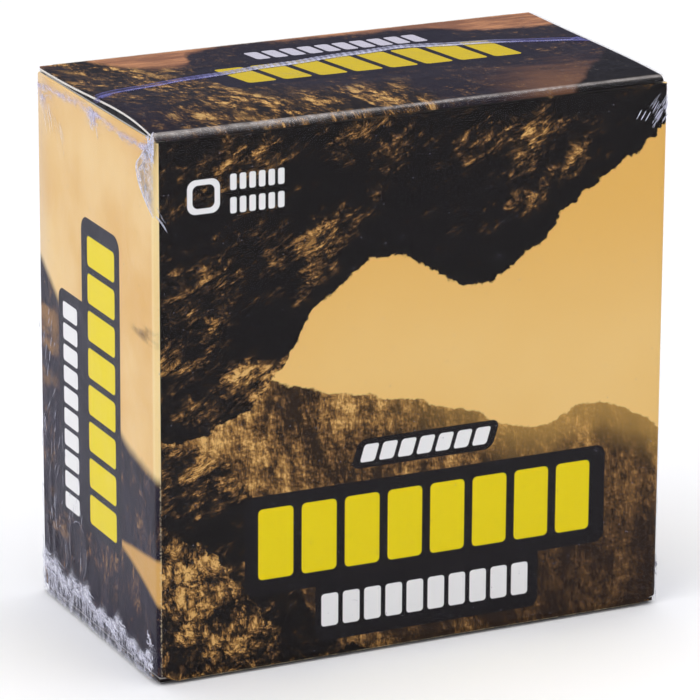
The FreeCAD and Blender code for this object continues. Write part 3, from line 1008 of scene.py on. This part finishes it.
def film_material(name, milk_and_sheen, gloss_share, end_milk=None):
    """Clear film. The attribute haze, from 0 to 1, makes it milky where it is folded or welded.

    The haze also paints highlights on folds, crumples and the lid's front fold. The first colour
    is that of the haze and those highlights, and end_milk its colour towards the two sides of the carton.
    gloss_share is what it mirrors face on where it is hazy, which adds up over its many layers.
    """
    shade = Shade(name)
    x, y, z = shade.place()
    where = shade.vector(x, y, z)
    ripple = shade.noise(where, 0.16, 3, 0.55, 0.6)
    fine = shade.noise(where, 1.4, 3, 0.6)
    scratch = shade.noise(shade.vector(x * 0.3 + z * 0.1, y * 0.3, z * 3.0 + x * 0.8), 0.7, 2, 0.5)
    scuff = shade.smooth(shade.size(scratch - 0.5), 0.003, 0.0) * shade.smooth(fine, 0.54, 0.66)
    dust = shade.smooth(shade.cells(where, 1.1), 0.075, 0.04) * shade.smooth(fine, 0.5, 0.58)
    haze = shade.value("ShaderNodeAttribute", {}, "Fac", attribute_name="haze")
    grain = shade.smooth(fine, 0.3, 0.7)
    cover = shade.least(haze * (0.5 + grain * 0.7) + scuff * 0.22 + dust * 0.4, 0.93)
    normal = shade.bump(ripple + fine * 0.03, 0.28)

    clear = shade.value("ShaderNodeBsdfTransparent", {})
    looks = {"Roughness": 0.09, "Color": (0.84, 0.84, 1.0, 1.0), "Normal": normal}
    gloss = shade.value("ShaderNodeBsdfGlossy", looks)
    slant = shade.value("ShaderNodeLayerWeight", {"Blend": 0.5, "Normal": normal}, "Facing")
    reflected = shade.math("POWER", slant, 5.0) * 0.2
    reflected = reflected + shade.smooth(haze, 0.02, 0.3) * gloss_share + 0.0025
    if end_milk is not None:
        milk_and_sheen = shade.blend(shade.size(x - 3.0), 11, 19, milk_and_sheen, end_milk)
    # This milky surface shows both the film's milkiness and the highlights that the haze paints.
    milky = shade.surface(milk_and_sheen, 0.26, 0.5, normal)
    return shade.finish(shade.join(cover, shade.join(reflected, clear, gloss), milky))


def film_piece(name, points, faces, haze, body, material, *replaced):
    mesh = bpy.data.meshes.new(name)
    mesh.from_pydata(metres(points), [], faces)
    layer = mesh.attributes.new("haze", "FLOAT", "POINT")
    layer.data.foreach_set("value", haze)
    mesh.materials.append(material)
    new_piece(name, mesh, body, "film", *replaced, angle=60)


def film_sheet(name, cells, body, material, *replaced, closed=False):
    """A sheet of film with its real thickness. cells holds its outside surface, in rows of (point, haze)."""
    rows, columns = len(cells), len(cells[0])
    count = rows * columns
    points, faces = shell([[p for p, _ in row] for row in cells], FILM)
    for key, line, _ in borders(rows, columns):
        if key in ("low", "high") or not closed:
            faces += [(b, a, a + count, b + count) for a, b in zip(line, line[1:])]
    if closed:
        seam = [(i * columns + columns - 1, i * columns) for i in range(rows)]
        for a, b in seam[:-1]:
            faces.append((a, b, b + columns, a + columns))
            faces.append((a + columns + count, b + columns + count, b + count, a + count))
        (a, b), (c, d) = seam[0], seam[-1]
        faces += [(b, a, a + count, b + count), (d + count, c + count, c, d)]
    haze = [h for row in cells for _, h in row]
    film_piece(name, points, faces, haze + haze, body, material, *replaced)


def wander(draw, points, normal, wobble, parts):
    """A line of points with their normal, smooth through the given points and slightly unsteady."""
    line = []
    spans = len(points) - 1
    for k in range(parts + 1):
        t = k / parts * spans
        i = min(int(t), spans - 1)
        local = t - i
        a, b = points[i], points[i + 1]
        before = points[i - 1] if i > 0 else a + (a - b)
        after = points[i + 2] if i + 2 <= spans else b + (b - a)
        p = 0.5 * (
            2 * a + (b - before) * local + (2 * before - 5 * a + 4 * b - after) * local ** 2
            + (3 * a - before - 3 * b + after) * local ** 3
        )
        shift = Vector([draw.uniform(-wobble, wobble) for _ in range(3)])
        line.append((p + shift - normal * shift.dot(normal), normal))
    return line


class Folds:
    """Thin folds of film, drawn at random one after another, that make one piece."""

    def __init__(self, draw, normal):
        self.draw, self.normal, self.strokes = draw, normal, []

    def add(self, points, wobble, parts, width, height, haze, normal=None):
        """One fold, a tapered ridge. A pair for its width, height or haze is a range to draw from."""
        line = wander(self.draw, points, normal or self.normal, wobble, parts)
        looks = [self.draw.uniform(*v) if isinstance(v, tuple) else v for v in (width, height, haze)]
        self.strokes.append((line, *looks))

    def make(self, name, body, material):
        points, faces, haze = [], [], []
        for line, width, height, strength in self.strokes:
            start, last = len(points), len(line) - 1
            for k, (point, normal) in enumerate(line):
                ahead = line[min(k + 1, last)][0] - line[max(k - 1, 0)][0]
                across = ahead.cross(normal).normalized()
                swell = math.sin(math.pi * (k + 0.35) / (last + 0.7)) ** 0.6
                wide, tall = width * swell / 2, height * swell
                points += [point + across * wide, point + normal * tall, point - across * wide]
                # The haze peaks along the ridge: milky film, with a painted highlight along its top.
                haze += [strength * 0.5, strength, strength * 0.5]
            for a in range(start, start + 3 * last, 3):
                faces += [(a + i, a + (i + 1) % 3, a + 3 + (i + 1) % 3, a + 3 + i) for i in range(3)]
            end = start + 3 * last
            faces += [(start + 2, start + 1, start), (end, end + 1, end + 2)]
        film_piece(name, points, faces, haze, body, material)


SLEEVE_X, SLEEVE_Y = FILM_HIGH.x, FILM_HIGH.y
LEFT, FRONT, RIGHT = Vector((-1, 0, 0)), Vector((0, -1, 0)), Vector((1, 0, 0))


def on_left(s, v, out=0.0):
    """A point on the left film. s goes from the back to the front, and v up, both from 0 to 1."""
    return Vector((-SLEEVE_X - out, HALF_D - s * DEPTH, BOTTOM + v * HEIGHT))


def on_right(s, v, out=0.0):
    """The same on the right film, where s goes from the front to the back."""
    return Vector((SLEEVE_X + out, -HALF_D + s * DEPTH, BOTTOM + v * HEIGHT))


def on_front(u, v, out=0.0):
    """The same on the front film, where u goes from the left to the right."""
    return Vector((-HALF_W + u * WIDTH, -SLEEVE_Y - out, BOTTOM + v * HEIGHT))


def sleeve_line():
    """The plan of the film round the four walls, anticlockwise from above, starting at the back left."""
    radius = FOLD_RADIUS + FILM_GAP + FILM
    flat_x, flat_y = SLEEVE_X - radius, SLEEVE_Y - radius
    line = []

    def straight(a, b, count):
        line.extend(Vector(a).lerp(Vector(b), t) for t in steps(0, 1, count)[:-1])

    def corner(cx, cy, start):
        for angle in steps(start, start + 90, 5)[:-1]:
            a = math.radians(angle)
            line.append(Vector((cx + radius * math.cos(a), cy + radius * math.sin(a))))

    straight((-SLEEVE_X, flat_y), (-SLEEVE_X, -flat_y), 130)
    corner(-flat_x, -flat_y, 180)
    straight((-flat_x, -SLEEVE_Y), (flat_x, -SLEEVE_Y), 90)
    corner(flat_x, -flat_y, 270)
    straight((SLEEVE_X, -flat_y), (SLEEVE_X, flat_y), 60)
    corner(flat_x, flat_y, 0)
    straight((flat_x, SLEEVE_Y), (-flat_x, SLEEVE_Y), 60)
    corner(-flat_x, flat_y, 90)
    return line


def gather_height(s):
    """How far up the bottom gather reaches on a side face, where s goes across it from the left."""
    return 5.0 - 2.2 * s + 0.5 * math.sin(s * 21) + 0.3 * math.sin(s * 47 + 1)


def spot(s, v, at, reach):
    """1 at a place on a side face, going smoothly to nothing away from it."""
    return math.exp(-(((s - at[0]) / reach[0]) ** 2) - (((v - at[1]) / reach[1]) ** 2))


def trim_haze(s, v, seed):
    """The milky marks along the trimmed top of a side face, where s goes from the back to the front."""
    crumple = noise.fractal(Vector((s * 16, v * 120, seed)), 0.8, 2.1, 3) + 0.45
    line = math.exp(-(((v - 0.974 + 0.005 * math.sin(s * 9 + 1)) / 0.0065) ** 2))
    blobs = 1.3 * spot(s, v, (0.5, 0.968), (0.05, 0.012)) + 1.2 * spot(s, v, (0.93, 0.966), (0.035, 0.014))
    blobs += 0.7 * spot(s, v, (0.08, 0.955), (0.05, 0.02))
    return max(0.0, min(1.0, crumple)) * min(1.0, 0.55 * line + 0.6 * blobs)


# Loose pockets of film above the gather: middle and half size, as shares of the side face
POCKETS = (
    (0.05, 0.1, 0.03, 0.05), (0.18, 0.11, 0.06, 0.04), (0.33, 0.13, 0.07, 0.055), (0.06, 0.2, 0.04, 0.06),
)


def on_sleeve(p, normal, z):
    """(place, haze) of the film round the walls, at a point of its plan and a height."""
    out, haze = 0.0, 0.0
    if abs(p.x) > SLEEVE_X - 0.01:
        s, v = (HALF_D - p.y) / DEPTH, (z - BOTTOM) / HEIGHT
        for at_s, at_v, reach_s, reach_v in POCKETS:
            ring = math.hypot((s - at_s) / reach_s, (v - at_v) / reach_v)
            out += 0.09 * math.exp(-(((ring - 1) / 0.3) ** 2))
        haze = 0.8 * trim_haze(s, v, p.x)
        pull = max(0.0, 1 - (TOP - z) / 3.0)
        out += 0.06 * pull * abs(noise.noise(Vector((p.y * 0.8, z * 1.4, 4))))
    drift = noise.noise(Vector((p.x * 0.09, p.y * 0.09, z * 0.07)))
    return Vector((p.x, p.y, z)) + normal * (out + 0.03 * max(0.0, drift)), haze


def make_sleeve(material):
    line = sleeve_line()
    normals = []
    for k in range(len(line)):
        ahead = line[(k + 1) % len(line)] - line[k - 1]
        normals.append(Vector((ahead.y, -ahead.x, 0)).normalized())
    levels = steps(FILM_LOW.z, 8, 16) + steps(8, 49, 26)[1:] + steps(49, FILM_HIGH.z, 34)[1:]
    cells = [[on_sleeve(p, normal, z) for p, normal in zip(line, normals)] for z in levels]
    film_sheet("film_round_walls", cells, "carton", material, "film_sleeve", closed=True)


def creased(where, sharpness, octaves=4):
    """Noise that is 1 along thin winding lines and falls off between them."""
    return max(0.0, 1 - abs(noise.fractal(where, 0.75, 2.15, octaves)) * sharpness)


def on_gather(s, t, place, normal, seed):
    """(place, haze) of the gather. s goes across it from the left, and t from its low edge to its top."""
    reach = gather_height(s) * (1.0 + 0.22 * noise.noise(Vector((s * 14, seed, 0))))
    z = 0.12 + (reach - 0.12) * t
    a = s * DEPTH
    phase = a * 0.95 + 1.6 * noise.noise(Vector((a * 0.35, z * 0.25, seed))) - z * 0.12
    pleat = abs((phase % 1.0) - 0.5) * 2
    ripple = creased(Vector((a * 1.1, z * 0.22, seed + 3)), 1.8)
    crumple = creased(Vector((a * 0.5, z * 0.62, seed + 5)), 1.7, 5)
    facet = creased(Vector((a * 0.9 + z * 0.5, z * 0.8, seed + 8)), 1.5, 3)
    brow = math.exp(-(((t - 0.72) / 0.16) ** 2))
    ends = min(1.0, s / 0.03, max(0.0, 0.97 - s) / 0.06)
    fade = min(1.0, (1 - t) / 0.25) ** 1.4
    low = (0.12 * pleat + 0.08 * ripple) * (1 - brow)
    out = (0.03 + low + (0.2 * crumple + 0.08 * facet) * brow) * ends * max(0.1, fade)
    # shine is painted highlight on the brow's crumples. The thin lines along pleats and ripples are milky
    # film with painted highlight on their ridges.
    shine = brow * (0.16 + 0.9 * crumple ** 5 + 0.5 * facet ** 6)
    milk_and_sheen = (1 - brow) * (0.04 + 0.42 * max(pleat ** 14, ripple ** 7)) + shine
    return place(s, (z - BOTTOM) / HEIGHT) + normal * out, min(0.92, milk_and_sheen) * ends * fade


def make_gather(name, place, normal, seed, material):
    """The crumpled film along the bottom of a side face, where the wrap was trimmed and shrunk flat.

    Pleats run up it from the bottom edge, and its upper part, the brow, is bunched into sharp crumples.
    """
    along = [0.008 + 0.98 * j / 300 for j in range(301)]
    cells = [[on_gather(s, t, place, normal, seed) for s in along] for t in steps(0, 1, 44)]
    film_sheet(name, cells, "carton", material)
    gather_folds(place, normal, seed).make(f"{name}_folds", "carton", material)


def gather_folds(place, normal, seed):
    """The sharp little folds in the gather: pleats under its brow, crumples on it and a knot at its right."""
    folds = Folds(random.Random(seed), normal)
    uniform, gauss = folds.draw.uniform, folds.draw.gauss

    def at(s, z, out):
        return place(s, (z - BOTTOM) / HEIGHT, out)

    # The haze of these folds paints glints on the gather, as well as milky film.
    for _ in range(60):
        s = uniform(0.04, 0.93)
        low = gather_height(s) * uniform(0.0, 0.35)
        high = low + uniform(0.8, 2.0)
        a, b = at(s, low + 0.1, 0.12), at(s + uniform(-0.03, 0.02), high, 0.12)
        bow = Vector((0, uniform(-0.25, 0.25), 0))
        width, haze = uniform(0.02, 0.05), uniform(0.4, 0.9)
        folds.add([a, a.lerp(b, 0.5) + bow, b], 0.04, 9, width, width, haze)
    for _ in range(130):
        s = uniform(0.04, 0.9)
        z = gather_height(s) * gauss(0.72, 0.1)
        a, b = at(s, z, 0.18), at(s + uniform(0.015, 0.06), z - uniform(-0.2, 0.9), 0.18)
        bow = Vector((0, 0, uniform(-0.2, 0.2)))
        width, haze = uniform(0.03, 0.07), uniform(0.7, 1.0)
        folds.add([a, a.lerp(b, 0.5) + bow, b], 0.07, 9, width, width, haze)
    for _ in range(30):
        s, z = gauss(0.935, 0.016), uniform(0.8, 4.6)
        a, b = at(s, z, 0.12), at(s + uniform(-0.02, 0.02), z + uniform(-0.7, 0.7), 0.14)
        width, haze = uniform(0.07, 0.14), uniform(0.8, 1.0)
        folds.add([a, b], 0.05, 6, width, width, haze)
    return folds


def side_wrinkles(place, normal, seed):
    """The long soft creases on a side face: arcs above the gather and the marks of the trimmed top."""
    folds = Folds(random.Random(seed), normal)
    uniform, gauss = folds.draw.uniform, folds.draw.gauss
    for at_s, at_v, reach_s, reach_v in POCKETS:
        for start in (-60, 50, 170):
            turns = steps(math.radians(start), math.radians(start + uniform(30, 80)), 4)
            rim = [(at_s + reach_s * math.cos(a) * 1.02, at_v + reach_v * math.sin(a) * 1.02) for a in turns]
            arc = [place(s, v, 0.06) for s, v in rim]
            folds.add(arc, 0.03, 10, 0.13, 0.05, (0.1, 0.3))
    for _ in range(34):
        s, v, rise = uniform(0.01, 0.36), uniform(0.09, 0.3), uniform(0.01, 0.04)
        line = [place(s, v, 0.01), place(s + uniform(-0.012, 0.02), v + rise, 0.01)]
        folds.add(line, 0.02, 5, (0.05, 0.12), 0.05, (0.15, 0.5))
    for _ in range(24):
        s, v = uniform(0.0, 0.14), uniform(0.3, 0.55)
        line = [place(s, v, 0.01), place(s + 0.01, v + uniform(0.008, 0.03), 0.01)]
        folds.add(line, 0.02, 5, (0.06, 0.14), 0.05, (0.15, 0.6))
    for _ in range(46):
        s = uniform(0.03, 0.88)
        v = 0.974 - 0.005 * math.sin(s * 9 + 1) + gauss(0, 0.004)
        line = [place(s, v, 0.02), place(s + uniform(0.01, 0.035), v + gauss(0, 0.004), 0.02)]
        folds.add(line, 0.04, 5, (0.04, 0.1), 0.04, (0.2, 0.6))
    knots = (0.5, 0.966, 0.018, 26), (0.93, 0.966, 0.014, 24), (0.07, 0.955, 0.02, 12)
    for at_s, at_v, spread, count in knots:
        for _ in range(count):
            s, v = gauss(at_s, spread), gauss(at_v, spread * 0.5)
            line = [place(s, v, 0.02), place(s + gauss(0, 0.018), v + gauss(0, 0.008), 0.03)]
            folds.add(line, 0.03, 4, (0.04, 0.11), 0.05, (0.3, 0.8))
    for _ in range(16):
        s = uniform(0.03, 0.22)
        v = 0.95 - s * 0.12 + uniform(-0.01, 0.01)
        line = [place(s, v, 0.01), place(s + 0.035, v - uniform(0.02, 0.06), 0.01)]
        folds.add(line, 0.02, 6, 0.07, 0.04, (0.12, 0.35))
    return folds


def make_corner_fold(material):
    """The dog-ear of film at the front left top corner. It lies down the left face and round to the front."""
    draw = random.Random(17)
    folds = Folds(draw, LEFT)
    outer_places = (
        (0.955, 0.985, 0.06), (0.9, 0.955, 0.1), (0.865, 0.935, 0.1), (0.885, 0.905, 0.1),
        (0.945, 0.875, 0.08), (0.99, 0.858, 0.06),
    )
    inner_places = (
        (0.965, 0.975, 0.06), (0.915, 0.945, 0.1), (0.885, 0.928, 0.1), (0.9, 0.9, 0.1),
        (0.95, 0.872, 0.08), (0.99, 0.862, 0.06),
    )
    outer, inner = [[on_left(*at) for at in places] for places in (outer_places, inner_places)]
    # The dog-ear's bright outline is painted highlight on milky film.
    folds.add(outer, 0.02, 34, 0.17, 0.13, 0.95)
    folds.add(inner, 0.02, 34, 0.1, 0.08, 0.6)
    cells = []
    for point, _ in wander(draw, outer, LEFT, 0.0, 40):
        row = []
        rim = Vector((point.x, -HALF_D + 0.02, point.z))
        for t in steps(1, 0, 14):
            p = point.lerp(rim, t)
            fold = creased(Vector((p.y * 0.9, p.z * 0.7, 2)), 1.6)
            row.append((p + LEFT * (0.03 + 0.07 * fold), 0.05 + 0.5 * fold ** 4 * (1 - 0.6 * t)))
        cells.append(row)
    film_sheet("film_corner_flap", cells, "carton", material)
    for _ in range(16):
        t = draw.uniform(0.1, 0.9)
        a = outer[1].lerp(outer[4], t) + Vector((0, draw.uniform(-0.5, 0.2), draw.uniform(-0.4, 0.4)))
        b = a + Vector((0, draw.uniform(-0.8, 0.3), draw.uniform(-0.9, -0.2)))
        folds.add([a, b], 0.03, 4, 0.07, 0.06, (0.15, 0.45))
    folds.make("film_corner_fold_left", "carton", material)

    folds = Folds(draw, LEFT)
    line = [on_front(-0.002, 0.862, 0.02), on_front(0.008, 0.85, 0.05), on_front(0.02, 0.83, 0.02)]
    folds.add(line, 0.015, 10, 0.2, 0.1, 0.6, FRONT)
    line = [on_front(0.0, 0.878, 0.02), on_front(0.01, 0.858, 0.04), on_front(0.018, 0.845, 0.02)]
    folds.add(line, 0.015, 8, 0.1, 0.06, 0.35, FRONT)
    # A knot of crumples at the corner. Its brightness is painted highlight on milky film.
    for _ in range(54):
        s, v = draw.gauss(0.982, 0.014), draw.gauss(0.98, 0.009)
        a = on_left(min(s, 1.0), v, 0.1)
        b = on_left(min(s + draw.gauss(0, 0.02), 1.005), v + draw.gauss(0, 0.01), 0.14)
        folds.add([a, b], 0.04, 5, (0.07, 0.17), (0.06, 0.18), (0.55, 1.0))
    folds.make("film_corner_fold_front", "carton", material)


def make_streaks(material):
    """The fan of tight wrinkles at the front's top right corner, their brightness painted highlight on milky
    film.
    """
    folds = Folds(random.Random(5), FRONT)
    uniform, gauss = folds.draw.uniform, folds.draw.gauss
    for _ in range(40):
        along = uniform(-1, 1)
        u = 0.975 + gauss(0, 0.009) + along * 0.006
        v = 0.929 + gauss(0, 0.006) + along * 0.018
        length, lean = uniform(0.006, 0.026), math.radians(gauss(56, 6))
        a = on_front(min(u, 0.992), v, 0.01)
        b = on_front(min(u + length * math.cos(lean), 0.997), v + length * math.sin(lean), 0.015)
        folds.add([a, b], 0.01, 6, (0.04, 0.1), (0.04, 0.1), (0.35, 0.95))
    # Three short dashes of painted highlight.
    for offset in (0.0, 0.009, 0.018):
        a = on_front(0.934 + offset, 0.93 - offset * 0.3, 0.01)
        b = on_front(0.944 + offset, 0.946 - offset * 0.3, 0.01)
        folds.add([a, b], 0.01, 6, 0.11, 0.1, 1.0)
    folds.make("film_streaks_front", "carton", material)


def seam_y(x):
    """The weld's wandering line across the top."""
    u = max(0.0, min(1.0, (x + HALF_W) / WIDTH))
    peak, top = 0.64, 6.5
    reach, end = (u / peak, -0.8) if u < peak else ((1 - u) / (1 - peak), 0.6)
    return end + (top - end) * reach ** 0.6 + 0.1 * math.sin(u * 40)


def over_lid(x, y, out):
    """A point over the top lid, some distance out from the film on it."""
    return Vector((x, y, TOP + lid_rise(x, y) + FILM_GAP + FILM + out))


def on_lid_film(x, y, turn, crowned):
    """(place, haze) of the film over a lid: at y on its top, or at a turn in degrees round its front fold,
    where the haze paints a highlight along the top of the fold.
    """
    out = FILM_GAP + FILM
    if turn is None:
        rustle = 0.03 * abs(noise.noise(Vector((x * 0.35, y * 0.5, 8)))) * crowned
        return Vector((x, y, TOP + crowned * lid_rise(x, y) + out + rustle)), 0.0
    angle = math.radians(90 + turn)
    radius = LID_FOLD + out + 0.42 * (turn / 90)
    # The haze round the fold paints a highlight along its top, stronger over the left part.
    strong = max(0.0, min(1.0, (0.46 - (x + HALF_W) / WIDTH) / 0.14))
    crest_highlight = math.exp(-(((turn - 22) / (9 + 9 * strong)) ** 2)) * crowned
    cloud = 0.8 + 0.5 * noise.noise(Vector((x * 0.5, turn * 0.02, 3)))
    point = Vector((x, FOLD_Y + radius * math.cos(angle), FOLD_Z + (LID_FOLD + out) * math.sin(angle)))
    return point, crest_highlight * cloud * (0.3 + 0.12 * strong)


def skirt(rim, side):
    """The film that turns down over a side edge of the lid, in (place, haze), from its rim outwards."""
    fall = max(0.15, rim.z - FILM_HIGH.z + 0.05)
    reach = side * (SLEEVE_X - abs(rim.x))
    return [
        (Vector((rim.x + reach * math.sin(t * math.pi / 2), rim.y, rim.z - fall * t ** 2)), 0.0)
        for t in (0.35, 0.7, 1.0)
    ]


def make_lid_film(end, crowned, move, material):
    """The film over a lid. It turns down over the front fold and over the lid's side edges."""
    xs = steps(HALF_W - 0.1, -HALF_W + 0.1, 100)
    profile = [(y, None) for y in steps(LID_HINGE - 0.5, FOLD_Y, 60)]
    profile += [(None, turn) for turn in steps(0, 90, 10)[1:]]
    cells = []
    for y, turn in profile:
        row = [on_lid_film(x, y, turn, crowned) for x in xs]
        row = skirt(row[0][0], 1)[::-1] + row + skirt(row[-1][0], -1)
        cells.append([(move(p), haze) for p, haze in row])
    film_sheet(f"film_over_{end}", cells, f"{end}_lid", material, f"{end}_film")


def on_weld(x, t):
    """(place, haze) of the weld, where t goes from its back edge to its front edge."""
    y = seam_y(x) + (0.5 - t) * (1.15 + 0.2 * noise.noise(Vector((x * 0.3, 0, 2))))
    rib = 0.5 + 0.5 * math.sin(x * 9.5 + 0.8 * math.sin(x * 0.9) + t * 2.0)
    u = (x + HALF_W) / WIDTH
    ribbed = max(0.0, math.sin(math.pi * min(1.0, max(0.0, (u - 0.1) / 0.75))))
    lip = math.exp(-(((t - 0.9) / 0.1) ** 2)) + math.exp(-(((t - 0.1) / 0.1) ** 2))
    crown = math.sin(math.pi * t)
    top = 0.03 + 0.05 * crown + 0.05 * rib * ribbed * crown + 0.05 * lip
    settled = min(1.0, 0.2 + (HALF_W - x) / 3.0)
    haze = min(0.9, 0.07 + 0.12 * ribbed + 0.42 * rib * ribbed + lip * (0.7 - 0.55 * ribbed))
    return over_lid(x, y, top * settled if 0 < t < 1 else 0.0), haze


def make_seam(material):
    """The weld across the top: a ribbed strip with a bright edge, and small tabs near its ends."""
    xs = [HALF_W - 0.4 - (WIDTH - 0.4) * j / 420 for j in range(421)]
    film_sheet("film_weld", [[on_weld(x, t) for x in xs] for t in steps(0, 1, 8)], "top_lid", material)
    folds = Folds(random.Random(9), Vector((0, 0, 1)))
    uniform = folds.draw.uniform
    for x, toward, fall in ((-HALF_W + 0.1, -1, 0.7), (HALF_W - 0.9, 1, 0.08)):
        for _ in range(9):
            y = seam_y(x) + uniform(-0.5, 0.7)
            a = over_lid(x - toward * uniform(0.3, 1.6), y, 0.08)
            b = Vector((x + toward * 0.15, y + uniform(-0.4, 0.4), a.z - uniform(0.05, fall)))
            folds.add([a, b], 0.03, 6, (0.08, 0.2), 0.12, (0.4, 0.9))
    folds.make("film_weld_tabs", "top_lid", material)


def make_film():
    clear = film_material("shrink_film", rgb(214, 208, 236), 0.0)
    # The lid films' milk colour is the colour of the painted highlight on the front fold, and of their scuffs
    # and dust.
    lid_clear = film_material("shrink_film_lids", rgb(218, 208, 202), 0.0)
    weld = film_material("shrink_film_weld", rgb(206, 206, 232), 0.01, rgb(122, 120, 186))
    # The folds and the gather paint highlights with their haze, as well as milky film.
    milky = film_material("shrink_film_folds", rgb(232, 232, 248), 0.05)
    bunched = film_material("shrink_film_bunched", rgb(238, 238, 250), 0.2)
    make_sleeve(clear)
    for end, crowned, move in (("top", 1, Vector), ("bottom", 0, turned_under)):
        make_lid_film(end, crowned, move, lid_clear)
    make_seam(weld)
    make_gather("film_gather_left", on_left, LEFT, 11, bunched)
    make_gather("film_gather_right", on_right, RIGHT, 23, bunched)
    side_wrinkles(on_left, LEFT, 31).make("film_wrinkles_left", "carton", milky)
    side_wrinkles(on_right, RIGHT, 37).make("film_wrinkles_right", "carton", milky)
    make_corner_fold(milky)
    make_streaks(milky)


# ---------------------------------------------------------------- everything together


def make_art():
    return {
        "front": front_print(),
        "back": back_print(),
        "left": side_print("print_left", -1, 5.0),
        "right": side_print("print_right", 1, 6.0),
        "lid": lid_print(),
        "base": base_print(),
        "inside": inside_material(),
        "core": core_material("board_cut_edge", rgb(246, 243, 238), rgb(214, 208, 198)),
        "dark_core": core_material("board_dark_edge", rgb(52, 44, 44), rgb(26, 22, 24)),
    }


def main():
    make_camera()
    make_stage()
    art = make_art()
    make_walls(art)
    make_lids(art)
    make_flaps()
    make_block()
    make_film()


main()
bpy.context.view_layer.update()
{name: [list(map(float, c)) for c in box] for name, box in (("cad", cad_box), ("visual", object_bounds()))}
